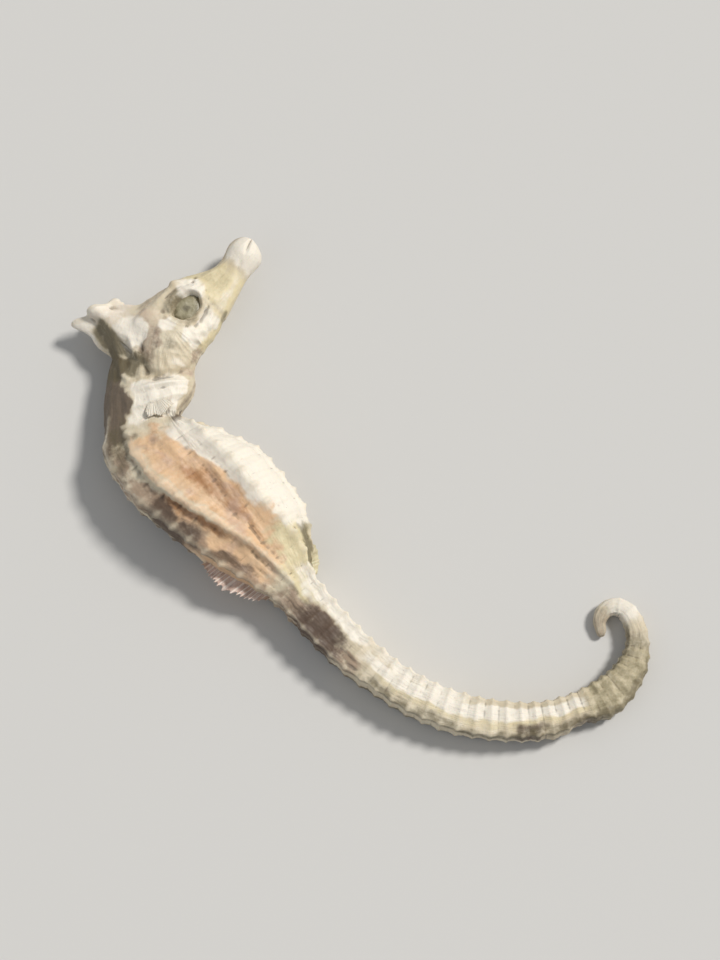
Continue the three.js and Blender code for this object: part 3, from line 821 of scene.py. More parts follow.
MARKINGS = (
    Marking("pale lips", Tint.IVORY, (-1, 3.7), (44, 180), 1.3, 2.6, 40),
    # painted shade: greys the top of the lips
    Marking("grey top of the lips", Tint.MAUVE, (-1, 2.4), (0, 52), 0.42, 1.6, 40),
    Marking("snout", Tint.YELLOW, (4.6, 9.4), (0, 180), 0.85, 3.0),
    Marking("green of the snout", Tint.OLIVE, (5.2, 8.6), (30, 124), 0.4, 2.6, 30),
    Marking("pale lower edge of the snout", Tint.IVORY, (5.0, 9.6), (122, 150), 0.55, 2.4, 18),
    Marking("brow", Tint.IVORY, (8.8, 11.0), (46, 90), 1.2, 1.8, 22),
    Marking("grey of the forehead", Tint.MAUVE, (10, 14.8), (14, 52), 0.45, 2.0, 26),
    # partly an olive stain of the socket, partly painted shade of its pit and wall
    Marking("olive round the eye", Tint.OLIVE, (10.5, 13.6), (64, 108), 0.8, 1.4, 20),
    Marking("cheek", Tint.IVORY, (12.6, 16.2), (114, 150), 1.2, 1.8, 16),
    Marking("upper cheek", Tint.IVORY, (14.3, 16), (80, 104), 1.4, 1.2, 14),
    Marking("bright jaw", Tint.IVORY, (10, 13.4), (116, 158), 1.0, 2.2, 16),
    Marking("chin", Tint.YELLOW, (9, 15.5), (120, 180), 0.95, 3.0),
    Marking("olive under the snout", Tint.OLIVE, (8.4, 10.4), (150, 180), 0.75, 1.4, 18),
    Marking("grey of the gill cover", Tint.OLIVE, (16.6, 18), (94, 112), 0.6, 1.4, 14),
    Marking("grey rear of the jaw", Tint.MAUVE, (15.2, 18.4), (148, 180), 0.7, 1.6, 16),
    Marking("side of the head", Tint.PINK, (14, 18), (40, 90), 0.5, 2.0, 16),
    Marking("grey of the head's side", Tint.MAUVE, (15.6, 20.4), (60, 92), 0.62, 1.6, 14),
    Marking("spur below the crown", Tint.IVORY, (15.8, 18), (40, 66), 1.2, 1.2, 12),
    # partly olive stain, partly painted shade in the hollow under the crown
    Marking("hollow of the nape", Tint.OLIVE, (18.7, 20.8), (10, 78), 1.0, 1.2, 26),
    # partly brown stain, partly painted shade on the nape's back
    Marking("dark of the nape", Tint.UMBER, (18.9, 25.5), (0, 40), 1.3, 1.6, 20),
    Marking("rear of the gill cover", Tint.IVORY, (19, 20.2), (108, 132), 0.6, 1.2, 16),
    Marking("pink of the throat", Tint.PINK, (19.5, 21.5), (120, 180), 0.55, 1.8),
    Marking("grey of the throat", Tint.MAUVE, (19.7, 21.4), (128, 180), 0.42, 1.6, 20),
    Marking("collar", Tint.IVORY, (21.7, 26.0), (62, 136), 1.4, 1.8, 20),
    Marking("lower side of the collar", Tint.MAUVE, (22, 26), (150, 180), 0.6, 1.4, 26),
    Marking("upper side of the collar", Tint.UMBER, (21.6, 27), (28, 56), 1.25, 1.4, 12),
    # partly brown stain, partly painted shade on the neck's back
    Marking("back of the neck", Tint.UMBER, (23, 27.5), (0, 36), 1.1, 2.0, 20),
    Marking("shade behind the collar", Tint.UMBER, (26.1, 27.4), (96, 180), 1.4, 0.9, 20),
    Marking("shoulder", Tint.OLIVE, (24.8, 29.4), (26, 60), 0.66, 2.0, 16),
    Marking("tan of the shoulder", Tint.APRICOT, (26.8, 30), (56, 76), 0.95, 1.4, 16),
    Marking("grey of the shoulder", Tint.MAUVE, (26.4, 30), (60, 78), 0.42, 1.4, 14),
    Marking("sunken flank", Tint.APRICOT, (28.5, 44.5), (5, 58), 1.0, 3.0, 8.0, FLANK_LINE),
    Marking("warm rear of the back", Tint.APRICOT, (41, 49), (10, 102), 0.95, 4.0, 16.0),
    Marking("brown rear of the back", Tint.MAUVE, (39, 51), (30, 48), 0.95, 4.0, 14.0),
    Marking("deep of the flank", Tint.RUST, (33, 42), (14, 30), 0.6, 4.0, 12.0, FLANK_LINE),
    Marking("edge of the flank", Tint.RUST, (36, 43), (-18, -6), 0.4, 3.0, 9.0, BAND_LINE),
    Marking("tan beside the flank ridge",
            Tint.RUST, (34, 43), (-16, -6), 0.75, 3.0, 8.0, FLANK_LINE),
    Marking("tan ground of the back",
            Tint.APRICOT, (34, 47), (-22, -5), 0.8, 4.0, 10.0, FLANK_LINE),
    # painted shade: a dark line along the groove above the flank ridge
    Marking("groove above the flank ridge",
            Tint.UMBER, (30, 38), (-9, -7), 0.55, 3.0, 5.0, FLANK_LINE),
    Marking("flank ridge", Tint.PEACH, (27, 47), (-2.5, 3), 1.3, 3.0, 5.0, FLANK_LINE),
    Marking("back flank", Tint.MAUVE, (27, 42), (6, 44), 0.9, 5.0, 16.0),
    # partly brown stain, partly painted shade on the back, which faces away from the light
    Marking("dark of the back", Tint.UMBER, (33.8, 40.6), (0, 42), 1.25, 4.0, 22.0),
    Marking("pale back ridge", Tint.IVORY, (24.5, 33), (-2, 2), 0.5, 2.5, 5.0, BACK_LINE),
    Marking("pale middle of the back", Tint.IVORY, (27, 33), (0, 4), 0.5, 2.5, 7.0),
    Marking("back edge", Tint.PEACH, (40, 48.6), (0, 18), 1.05, 4.0, 20),
    # partly pale belly plates, partly painted light on the lit belly side
    Marking("belly band", Tint.IVORY, (27.8, 42.5), (1, 90), 1.4, 4.0, 12.0, BAND_LINE),
    Marking("belly before its rear", Tint.IVORY, (40, 45.6), (120, 180), 1.3, 3.0, 16),
    Marking("shadow in the belly band",
            Tint.MAUVE, (31.5, 32.5), (12, 20), 0.42, 1.4, 8.0, BAND_LINE),
    Marking("rear of the belly", Tint.YELLOW, (45.0, 54), (84, 180), 1.4, 3.6),
    Marking("bright rear of the belly", Tint.IVORY, (49.4, 54), (94, 136), 0.7, 2.4, 20),
    # painted shade where the belly's lower edge turns away from the light
    Marking("under the rear of the belly", Tint.OLIVE, (44.6, 50.8), (144, 180), 1.15, 3.4, 26),
    Marking("top of the tail base", Tint.IVORY, (50.5, 62), (112, 180), 1.1, 3.0, 20),
    Marking("brown before the tail", Tint.MAUVE, (50.8, 55), (0, 82), 1.0, 2.0, 24),
    Marking("dark patch of the tail base", Tint.UMBER, (54.2, 60.4), (0, 106), 1.12, 3.4, 30),
    Marking("grey of the tail base", Tint.MAUVE, (53.5, 59), (20, 106), 1.0, 2.2, 16),
    Marking("grey behind the tail base", Tint.MAUVE, (58, 63), (20, 76), 0.85, 2.2, 16),
    Marking("pink spot of the tail base", Tint.PINK, (54.2, 56.2), (6, 38), 0.9, 1.2, 16),
    # partly pale colour, partly painted light on the tail's belly side, which faces the light
    Marking("belly side of the tail", Tint.IVORY, (62.8, 89.5), (78, 116), 1.25, 5.0, 20.0),
    # partly pale colour, partly painted light on the tail's underside
    Marking("underside of the tail", Tint.IVORY, (63, 76), (112, 180), 1.0, 8.0, 24.0),
    Marking("flank of the tail", Tint.YELLOW, (64, 92), (60, 90), 0.6, 6.0, 30.0),
    # partly olive stain, partly painted shade on the tail's back, which faces away from the light
    Marking("back of the tail", Tint.OLIVE, (62, 92), (28, 58), 0.8, 7.0, 24.0),
    # partly brown stain, partly painted shade on the back of the tail
    Marking("brown back of the tail", Tint.MAUVE, (74, 90), (6, 30), 0.45, 8.0, 34.0),
    Marking("brown spot of the tail", Tint.UMBER, (81.4, 84.6), (10, 68), 0.8, 1.4, 18),
    Marking("dark notch of the tail", Tint.UMBER, (88.5, 91), (0, 50), 0.8, 1.2, 20),
    Marking("dull start of the curl", Tint.OLIVE, (90, 101.5), (0, 180), 0.6, 3.4),
    Marking("dark start of the curl", Tint.OLIVE, (89.5, 99), (0, 60), 0.85, 2.4, 30),
    Marking("start of the curl", Tint.YELLOW, (90, 100), (0, 180), 0.7, 4.0),
    # painted shade inside the curl
    Marking("inside of the curl", Tint.OLIVE, (97, 103.5), (125, 180), 0.75, 3.0, 24),
    Marking("top of the curl", Tint.IVORY, (103, 107), (0, 180), 1.1, 3.4),
    Marking("tip of the tail", Tint.MAUVE, (107.6, 112), (0, 180), 0.5, 1.6),
)


# ------------------------------------------------------------------- materials

Operand = Union["Number", float]


class Number:
    """A number in a material's node tree, which Python arithmetic works on."""

    def __init__(self, graph: "Graph", socket: bpy.types.NodeSocket) -> None:
        """Wraps an output socket of the graph."""
        self.graph = graph
        self.socket = socket

    def _math(self, operation: str, first: Operand, second: Operand) -> "Number":
        """Adds a Math node on two operands."""
        node = self.graph.node("ShaderNodeMath", {"operation": operation}, {0: first, 1: second})
        return Number(self.graph, node.outputs[0])

    def __add__(self, other: Operand) -> "Number":
        """Adds."""
        return self._math("ADD", self, other)

    __radd__ = __add__

    def __sub__(self, other: Operand) -> "Number":
        """Takes the other away."""
        return self._math("SUBTRACT", self, other)

    def __rsub__(self, other: Operand) -> "Number":
        """Is taken away from the other."""
        return self._math("SUBTRACT", other, self)

    def __mul__(self, other: Operand) -> "Number":
        """Multiplies."""
        return self._math("MULTIPLY", self, other)

    __rmul__ = __mul__

    def __pow__(self, other: Operand) -> "Number":
        """Raises to a power."""
        return self._math("POWER", self, other)

    def rising(self, low: float, high: float) -> "Number":
        """Goes smoothly from 0 to 1 as the number goes from low to high.

        Args:
            low: The number that gives 0.
            high: The number that gives 1.

        Returns:
            The smoothed number.
        """
        settings = {"interpolation_type": "SMOOTHSTEP"}
        ends = {0: self, 1: low, 2: high, 3: 0.0, 4: 1.0}
        return Number(self.graph, self.graph.node("ShaderNodeMapRange", settings, ends).outputs[0])


class Shade:
    """A colour in a material's node tree."""

    def __init__(self, graph: "Graph", value: object) -> None:
        """Wraps an output socket or a constant colour."""
        self.graph = graph
        self.value = value

    def toward(self, other: "Shade", share: Operand, mode: str = "MIX") -> "Shade":
        """Mixes another colour in.

        Args:
            other: The other colour.
            share: How much of it, 0 to 1.
            mode: The Mix node's blend type.

        Returns:
            The mixed colour.
        """
        settings = {"data_type": "RGBA", "blend_type": mode}
        node = self.graph.node("ShaderNodeMix", settings, {0: share, 6: self, 7: other})
        return Shade(self.graph, node.outputs[2])


class Graph:
    """The node tree of one material, with its output shader."""

    def __init__(self, name: str) -> None:
        """Makes a material of that name with an empty node tree."""
        self.material = bpy.data.materials.new(name)
        self.material.use_nodes = True
        self.tree = self.material.node_tree
        self.tree.nodes.clear()

    def node(self, kind: str, settings: Optional[dict] = None,
             inputs: Optional[dict] = None) -> bpy.types.Node:
        """Adds any node.

        Args:
            kind: The node's type.
            settings: Its own settings, which are set first.
            inputs: Values or links by the name or number of the socket.

        Returns:
            The node.
        """
        node = self.tree.nodes.new(kind)
        for name, value in (settings or {}).items():
            setattr(node, name, value)
        for key, value in (inputs or {}).items():
            value = value.value if isinstance(value, Shade) else value
            value = value.socket if isinstance(value, Number) else value
            if isinstance(value, bpy.types.NodeSocket):
                self.tree.links.new(value, node.inputs[key])
            else:
                node.inputs[key].default_value = value
        return node

    def colour(self, code: int) -> Shade:
        """A constant colour from its display code."""
        return Shade(self, linear(code))

    def attribute(self, name: str) -> Number:
        """A number that the mesh holds at each vertex."""
        return Number(self, self.node("ShaderNodeAttribute", {"attribute_name": name}).outputs[2])

    def flow(self, stretch: Sequence[float]) -> bpy.types.NodeSocket:
        """Coordinates in millimetres that follow the body, each one stretched."""
        source = self.node("ShaderNodeAttribute", {"attribute_name": "flow"}).outputs[1]
        return self.node(
            "ShaderNodeVectorMath", {"operation": "MULTIPLY"}, {0: source, 1: tuple(stretch)}
        ).outputs[0]

    def place(self) -> bpy.types.NodeSocket:
        """The object's own coordinates, in millimetres."""
        source = self.node("ShaderNodeTexCoord").outputs["Object"]
        scale = 1.0 / METRES
        return self.node(
            "ShaderNodeVectorMath", {"operation": "SCALE"}, {0: source, "Scale": scale}
        ).outputs[0]

    def noise(self, where: bpy.types.NodeSocket, size: float, detail: float = 3.0,
              roughness: float = 0.55, distortion: float = 0.0) -> Number:
        """Adds cloudy noise.

        Args:
            where: The coordinates.
            size: The size of one lump, in millimetres.
            detail: How many finer layers it has.
            roughness: How strong the finer layers are.
            distortion: How much the pattern is pulled about.

        Returns:
            The noise, about 0 to 1.
        """
        inputs = {"Vector": where, "Scale": 1.0 / size, "Detail": detail,
                  "Roughness": roughness, "Distortion": distortion}
        return Number(self, self.node("ShaderNodeTexNoise", None, inputs).outputs[0])

    def cells(self, where: bpy.types.NodeSocket, size: float, feature: str = "F1") -> Number:
        """Distances in a pattern of scattered cells of that size."""
        inputs = {"Vector": where, "Scale": 1.0 / size}
        node = self.node("ShaderNodeTexVoronoi", {"feature": feature}, inputs)
        return Number(self, node.outputs[0])

    def bump(self, height: Number, depth: float, strength: float = 1.0) -> bpy.types.NodeSocket:
        """A normal bent by a height, whose full range is the depth in millimetres."""
        inputs = {"Strength": strength, "Distance": depth * METRES, "Height": height}
        return self.node("ShaderNodeBump", None, inputs).outputs[0]

    def finish(self, inputs: dict) -> bpy.types.Material:
        """Ends the graph in one shader.

        Args:
            inputs: Values or links by the name of the shader's socket.

        Returns:
            The material.
        """
        shader = self.node("ShaderNodeBsdfPrincipled", None, inputs)
        self.node("ShaderNodeOutputMaterial", None, {"Surface": shader.outputs[0]})
        return self.material


@dataclass(frozen=True)
class SkinFinish:
    """Dried skin over bone: bony ivory with earthy stains, some painted light and shade, and a
    dull sheen.
    """

    bone: int = 0xCBBCA0
    cream: int = 0xDDD1B8
    ivory: int = 0xF0E8D9
    yellow: int = 0xE0D1A7
    apricot: int = 0xE3BE96
    rust: int = 0xAB7A50
    umber: int = 0x513F33
    mauve: int = 0xA08772
    peach: int = 0xE9C7A3
    olive: int = 0x665C43
    pink: int = 0xC7AA99
    # painted shade of the creases and the mouth, also the darker grain along the fibres
    grain_and_crease_shade: int = 0x4A3B2C
    lower_stains: tuple[tuple[Tint, float], ...] = ((Tint.YELLOW, 0.85), (Tint.PINK, 0.7))
    upper_stains_and_painted_light: tuple[tuple[Tint, float], ...] = (
        (Tint.UMBER, 0.85), (Tint.OLIVE, 0.85), (Tint.PEACH, 0.85), (Tint.IVORY, 0.92),
    )
    roughness: float = 0.5
    bump_depth: float = 0.16
    translucency: float = 0.08
    light_reach: float = 0.5
    gloss: float = 0.45

    def build(self) -> bpy.types.Material:
        """Makes the material.

        Returns:
            The material, which reads the attributes of the skin's mesh.
        """
        graph = Graph("dried_skin")
        place = graph.place()
        clouds = graph.noise(place, 5.0, 4.0)
        broad = graph.noise(place, 3.2, 3.0, 0.5, 0.3)
        blotches = graph.noise(place, 1.6, 5.0, 0.6, 0.4)
        mottle = graph.noise(place, 0.55, 4.0, 0.6)
        streaks = graph.noise(graph.flow((0.16, 1.0, 1.0)), 0.75, 4.0, 0.6, 0.3)
        fibres = graph.noise(graph.flow((0.12, 1.0, 1.0)), 0.24, 3.0, 0.6)
        ridge, shaded_crease = graph.attribute("ridge"), graph.attribute("shaded_crease")
        ragged = (blotches - 0.5) * 1.5 + (mottle - 0.5) * 0.9

        def stain_and_painted_light(tint: Tint, low: float = 0.14, high: float = 0.98) -> Number:
            """The share of one tint, with ragged edges; the tints hold stains as well as painted
            light and shade.
            """
            share = graph.attribute(tint.value)
            return (share * (1.0 + ragged * 0.9) + ragged * 0.12).rising(low, high)

        shade = graph.colour(self.bone).toward(graph.colour(self.cream), clouds.rising(0.3, 0.7))
        for tint, share in self.lower_stains:
            shade = shade.toward(graph.colour(getattr(self, tint.value)), stain_and_painted_light(tint) * share)
        rusty = graph.attribute(Tint.RUST.value) * 0.6 + streaks + (mottle - 0.5) * 0.3
        flank = graph.colour(self.apricot).toward(graph.colour(self.rust),
                                                  rusty.rising(0.48, 0.95) * 0.9)
        flank = flank.toward(graph.colour(self.cream), clouds.rising(0.5, 0.72) * 0.35)
        flank = flank.toward(graph.colour(self.pink), broad.rising(0.52, 0.68) * 0.5)
        shade = shade.toward(flank, stain_and_painted_light(Tint.APRICOT, 0.1, 0.8))
        brown = graph.colour(self.mauve).toward(graph.colour(self.umber),
                                                streaks.rising(0.42, 0.68))
        shade = shade.toward(brown, stain_and_painted_light(Tint.MAUVE) * 0.85)
        for tint, share in self.upper_stains_and_painted_light:
            shade = shade.toward(graph.colour(getattr(self, tint.value)), stain_and_painted_light(tint) * share)
        # paler worn bone on the ridges and the crown's rim, partly a painted highlight on them
        worn_and_highlit = (ridge + (mottle - 0.5) * 0.5).rising(0.45, 1.0)
        shade = shade.toward(graph.colour(self.cream), worn_and_highlit * 0.4)
        # painted shade: darkens the creases and the inside of the mouth
        shade = shade.toward(graph.colour(self.grain_and_crease_shade), shaded_crease.rising(0.25, 1.0) * 0.55)
        pores = graph.cells(place, 0.5)
        specks = (1.0 - pores).rising(0.82, 0.97) * blotches.rising(0.55, 0.7)
        shade = shade.toward(graph.colour(self.umber), specks * 0.5)
        # the skin's own darker grain along the fibres
        shade = shade.toward(graph.colour(self.grain_and_crease_shade), fibres.rising(0.56, 0.8) * 0.16)
        height = (graph.noise(place, 0.22, 3.0, 0.6) * 0.22 + fibres * 0.5
                  + graph.noise(place, 0.07, 2.0) * 0.08 + pores * 0.16 + streaks * 0.3)
        return graph.finish({
            "Base Color": shade,
            "Roughness": self.roughness + (mottle - 0.5) * 0.3 + shaded_crease * 0.15,
            "Normal": graph.bump(height, self.bump_depth),
            "Subsurface Weight": self.translucency,
            "Subsurface Radius": (1.0, 0.6, 0.35),
            "Subsurface Scale": self.light_reach * METRES,
            "Specular IOR Level": self.gloss,
        })


@dataclass(frozen=True)
class FinFinish:
    """Dried fin: a thin membrane between paler rays, darker along its edge."""

    name: str
    membrane: int
    ray: int
    edge: int
    roughness: float = 0.5
    bump_depth: float = 0.08
    translucency: float = 0.1
    light_reach: float = 0.4

    def build(self) -> bpy.types.Material:
        """Makes the material.

        Returns:
            The material, which reads the attributes of a fin's mesh.
        """
        graph = Graph(self.name)
        place = graph.place()
        ray, outward = graph.attribute("ray"), graph.attribute("outward")
        clouds = graph.noise(place, 0.9, 4.0, 0.6)
        grain = graph.noise(place, 0.16, 3.0)
        membrane, edge = graph.colour(self.membrane), graph.colour(self.edge)
        shade = membrane.toward(edge, clouds.rising(0.4, 0.7))
        shade = shade.toward(graph.colour(self.ray), ray.rising(0.2, 0.9) * 0.8)
        shade = shade.toward(edge, (outward + (clouds - 0.5)).rising(0.7, 1.15) * 0.6)
        return graph.finish({
            "Base Color": shade,
            "Roughness": self.roughness + (grain - 0.5) * 0.3,
            "Normal": graph.bump(grain + ray * 0.6, self.bump_depth),
            "Subsurface Weight": self.translucency,
            "Subsurface Radius": (1.0, 0.6, 0.4),
            "Subsurface Scale": self.light_reach * METRES,
        })


@dataclass(frozen=True)
class EyeFinish:
    """Dried eye: a dull olive iris with fine spokes round a clouded pupil."""

    iris: int = 0x9C9476
    outer: int = 0x746C52
    pupil: int = 0x514A3C
    cloud: int = 0xB9B196
    roughness: float = 0.28
    bump_depth: float = 0.05
    film: float = 0.35

    def build(self) -> bpy.types.Material:
        """Makes the material.

        Returns:
            The material, which reads the attributes of an eye's mesh.
        """
        graph = Graph("dried_eye")
        place = graph.place()
        reach, spoke = graph.attribute("reach"), graph.attribute("spoke")
        clouds = graph.noise(place, 0.5, 4.0, 0.6)
        fine = graph.noise(place, 0.12, 3.0)
        shade = graph.colour(self.iris).toward(graph.colour(self.outer), reach.rising(0.4, 0.85))
        shade = shade.toward(graph.colour(self.outer), spoke * fine.rising(0.35, 0.65) * 0.5)
        within = 1.0 - (reach + (clouds - 0.5) * 0.5).rising(0.1, 0.5)
        shade = shade.toward(graph.colour(self.pupil), within * 0.6)
        film = graph.noise(place, 1.1, 4.0, 0.55, 0.8)
        shade = shade.toward(graph.colour(self.cloud), film.rising(0.42, 0.68) * 0.6)
        return graph.finish({
            "Base Color": shade,
            "Roughness": self.roughness + (clouds - 0.4) * 0.3,
            "Normal": graph.bump(fine + clouds, self.bump_depth),
            "Coat Weight": self.film,
            "Coat Roughness": 0.2,
        })


@dataclass(frozen=True)
class FloorFinish:
    """A plain pale matt surface."""

    colour: int = 0xCFCDC9
    roughness: float = 0.8

    def build(self) -> bpy.types.Material:
        """Makes the material, with a hardly visible grain."""
        graph = Graph("pale_floor")
        grain = graph.noise(graph.place(), 0.6, 2.0)
        return graph.finish({
            "Base Color": linear(self.colour),
            "Roughness": self.roughness + (grain - 0.5) * 0.1,
        })


# ------------------------------------------------------------------ the pieces

def finished(bm: bmesh.types.BMesh, name: str, material: bpy.types.Material,
             attributes: Optional[dict[str, Array]] = None) -> bpy.types.Object:
    """Turns a mesh in millimetres into a finished, smooth object in metres.

    Args:
        bm: The mesh, which is freed.
        name: The piece's name.
        material: Its material.
        attributes: Values per vertex for the material, in one or three parts.

    Returns:
        The object, linked into the scene.
    """
    bmesh.ops.scale(bm, vec=(METRES,) * 3, verts=bm.verts)
    bmesh.ops.recalc_face_normals(bm, faces=bm.faces)
    mesh = bpy.data.meshes.new(name)
    bm.to_mesh(mesh)
    bm.free()
    for key, values in (attributes or {}).items():
        kind = "FLOAT_VECTOR" if values.ndim == 2 else "FLOAT"
        layer = mesh.attributes.new(key, kind, "POINT")
        layer.data.foreach_set("vector" if values.ndim == 2 else "value", values.ravel())
    mesh.shade_smooth()
    mesh.materials.append(material)
    piece = bpy.data.objects.new(name, mesh)
    bpy.context.scene.collection.objects.link(piece)
    LOG.info("%s: %d faces", name, len(mesh.polygons))
    return piece


def shaped(bm: bmesh.types.BMesh, points: Array) -> None:
    """Moves the vertices of a mesh to the given points, in their order."""
    for vertex, point in zip(bm.verts, points):
        vertex.co = point


@dataclass(frozen=True)
class Grain:
    """One layer of the skin's unevenness: the size and height of its lumps."""

    size: float
    height: float
    seed: float


@dataclass
class Skin:
    """The whole skin from lips to tail, drawn tight over the bony rings."""

    shape: BodyShape = BodyShape()
    mouth: Mouth = Mouth()
    socket: EyeSocket = EyeSocket()
    gill_cover: GillCover = GillCover()
    coronet: Coronet = Coronet()
    columns: int = 144
    rows: int = 680
    tail_rounding: float = 0.8
    seam_depth: float = 0.11
    nape: float = 0.35
    nape_spread: float = 9.0
    nape_along: tuple[float, float] = (20.5, 24.0)
    lip: float = 0.14
    lip_at: float = 2.0
    behind_lip: float = 4.4
    grains: tuple[Grain, ...] = (
        Grain(3.4, 0.09, 1.0), Grain(0.8, 0.045, 2.0), Grain(0.36, 0.022, 3.0),
    )
    flow_radius: float = 4.0
    least_radius: float = 0.2
    body_steps: int = 400
    tip_steps: int = 16
    front_half: float = 50.0
    flank_sides: tuple[float, float] = (0.25, 0.7)
    flank_along: tuple[float, float] = (28.0, 48.0)
    flank_around: tuple[float, float] = (40.0, 118.0)
    neck_along: tuple[float, float] = (9.0, 27.0)
    seams_along: tuple[float, float] = (29.0, 100.0)
    rings_along: tuple[float, float] = (24.0, 106.0)
    crown_rim: tuple[float, float] = (0.56, 0.72)
    crown_foot: tuple[float, float] = (0.05, 0.3)
    crease_shade_depth: tuple[float, float] = (0.01, 0.12)
    smoothing: int = 4
    density: Profile = Profile((
        (0, 11), (3, 8), (8, 8), (10, 11), (20, 11), (26, 7.5), (50, 6.5), (60, 5), (100, 6),
        (108, 9),
    ))
    knobs: tuple[Knob, ...] = (
        Knob("front nostril", 8.35, 1.75, -0.3, 0.17),
        Knob("rear nostril", 9.0, 1.5, -0.3, 0.15),
        Knob("spine over the eye", 10.6, 2.75, 0.3, 0.42),
        Knob("spine behind the eye", 13.6, 2.3, 0.22, 0.45),
        Knob("spine of the cheek", 14.5, -3.6, 0.45, 0.42),
        Knob("spine of the throat", 11.2, -3.3, 0.25, 0.4),
        Knob("gill opening", 21.0, 1.5, -0.5, 0.34),
        Knob("hollow under the crown", 18.6, 4.4, -0.5, 0.6),
        Knob("upper knob of the collar", 23.2, 3.6, 0.26, 0.5),
        Knob("middle knob of the collar", 23.4, 0.8, 0.2, 0.5),
        Knob("lower knob of the collar", 23.6, -2.4, 0.24, 0.45),
    )
    folds: tuple[Fold, ...] = (
        Fold("edge of the lower jaw", (2.7, -0.5), (4.6, -1.5), -0.15, 0.18),
        Fold("upper strut of the snout", (4.2, 0.7), (9.0, 1.3), 0.2, 0.26),
        Fold("lower strut of the snout", (4.4, -1.2), (10.0, -2.3), 0.2, 0.28, -0.15),
        Fold("groove between the struts", (4.8, -0.2), (8.8, -0.4), -0.18, 0.34),
        Fold("groove before the cheek", (9.6, -2.0), (13.4, -2.3), -0.33, 0.22, -0.4),
        Fold("bone of the cheek", (12.0, -3.2), (15.0, -2.9), 0.36, 0.34, 0.25),
        Fold("crease under the eye", (9.9, -1.9), (13.8, -1.6), -0.15, 0.12, -0.5),
        Fold("bone over the eye", (9.0, 2.2), (13.6, 2.7), 0.24, 0.3, 0.35),
        Fold("groove behind the eye", (13.9, -0.6), (14.4, 2.2), -0.3, 0.22, 0.3),
        Fold("ridge of the nape", (14.4, 2.6), (17.0, 4.3), 0.33, 0.32),
        Fold("spur below the crown", (16.6, 4.7), (19.6, 1.8), 0.63, 0.3, 0.3),
        Fold("second spur below the crown", (19.6, 5.0), (21.6, 3.2), 0.38, 0.26, 0.3),
        Fold("first fold of the neck", (21.3, 3.4), (21.5, -3.2), -0.3, 0.2, 0.3),
        Fold("front of the collar", (22.3, 4.2), (22.3, -3.6), 0.3, 0.24, 0.2),
        Fold("groove of the collar", (23.2, 4.6), (23.3, -3.4), -0.18, 0.16, -0.15),
        Fold("rear of the collar", (24.2, 4.4), (24.6, -3.0), 0.3, 0.26, -0.2),
        Fold("fold behind the collar", (25.3, 4.8), (26.0, -1.0), -0.39, 0.24, -0.2),
        Fold("notch behind the collar", (26.2, 0.4), (26.7, -3.4), -0.5, 0.3, 0.1),
        Fold("fold of the shoulder", (26.6, 5.6), (27.4, 0.6), -0.21, 0.2, 0.3),
    )
    creases: tuple[Crease, ...] = (
        Crease(74, 0.16, 3.0), Crease(84, 0.22, 3.6), Crease(95, 0.14, 3.0),
    )
    drift_reach: tuple[float, float] = (1.0, 15.0)
    drift_sizes: tuple[float, float] = (2.6, 0.9)
    finish: SkinFinish = SkinFinish()

    def build(self) -> bpy.types.Object:
        """Makes the skin as one closed mesh.

        Returns:
            The dressed piece.
        """
        bm = bmesh.new()
        bmesh.ops.create_uvsphere(bm, u_segments=self.columns, v_segments=self.rows, radius=1.0)
        unit = np.array([vertex.co[:] for vertex in bm.verts])
        row = np.round(np.arccos(np.clip(unit[:, 2], -1.0, 1.0)) / math.pi * self.rows)
        angle = np.arctan2(unit[:, 1], unit[:, 0])
        s, opened, slit = self._path(row / self.rows)
        degrees = np.degrees(np.abs(angle))
        points = self._surface(s, angle, opened, slit)
        points, crown, turn = self.coronet.raise_from(points, self.shape.axis)
        shaped(bm, points)
        bm.normal_update()
        normals = np.array([vertex.normal[:] for vertex in bm.verts])
        flow = np.stack([
            s, self.flow_radius * np.cos(angle), self.flow_radius * np.sin(angle)], axis=-1)
        wrinkles = self._wrinkles(points, flow, s, degrees, crown)
        outside = smoothstep(0.0, 0.5, opened)
        points = points + normals * (wrinkles * outside)[:, None]
        points[:, 2] = np.maximum(points[:, 2], 0.0)
        shaped(bm, points)
        attributes = self._stains_and_painted_light(points, s, degrees, crown, turn)
        attributes["ridge"] = self._ridges(s, degrees, crown)
        # crease depth, which the material turns into painted shade
        attributes["shaded_crease"] = self._shaded_creases(bm, s, opened)
        attributes["flow"] = flow
        return finished(bm, "skin", self.finish.build(), attributes)

    def _path(self, share: Array) -> tuple[Array, Array, Array]:
        """Spreads the rows from the bottom of the throat to the tip of the tail.

        Args:
            share: How far along all the rows each vertex is, 0 to 1.

        Returns:
            The distance along the axis, how far the section is open from the
            mouth's slit, and the scale of that slit or of the section.
        """
        s, opened, slit = self.mouth.path()
        end = self.shape.axis.length
        straight = np.linspace(s[-1], end - self.tail_rounding, self.body_steps)[1:]
        turn = np.linspace(0.0, math.pi / 2.0, self.tip_steps)[1:]
        tip = end - self.tail_rounding * (1.0 - np.sin(turn))
        s = np.concatenate([s, straight, tip])
        opened = np.concatenate([opened, np.ones(len(straight)), np.cos(turn)])
        opened[-1] = 0.0
        slit = np.concatenate([slit, np.ones(len(straight) + len(tip))])
        widths = np.where(s < self.front_half, opened + slit * 0.5, opened)
        widths = self.shape.flank_width(s) * widths
        steps = np.hypot(np.diff(s), np.diff(widths)) * self.density(0.5 * (s[1:] + s[:-1]))
        passed = np.concatenate([[0.0], np.cumsum(steps)])
        passed /= passed[-1]
        return tuple(np.interp(share, passed, values) for values in (s, opened, slit))

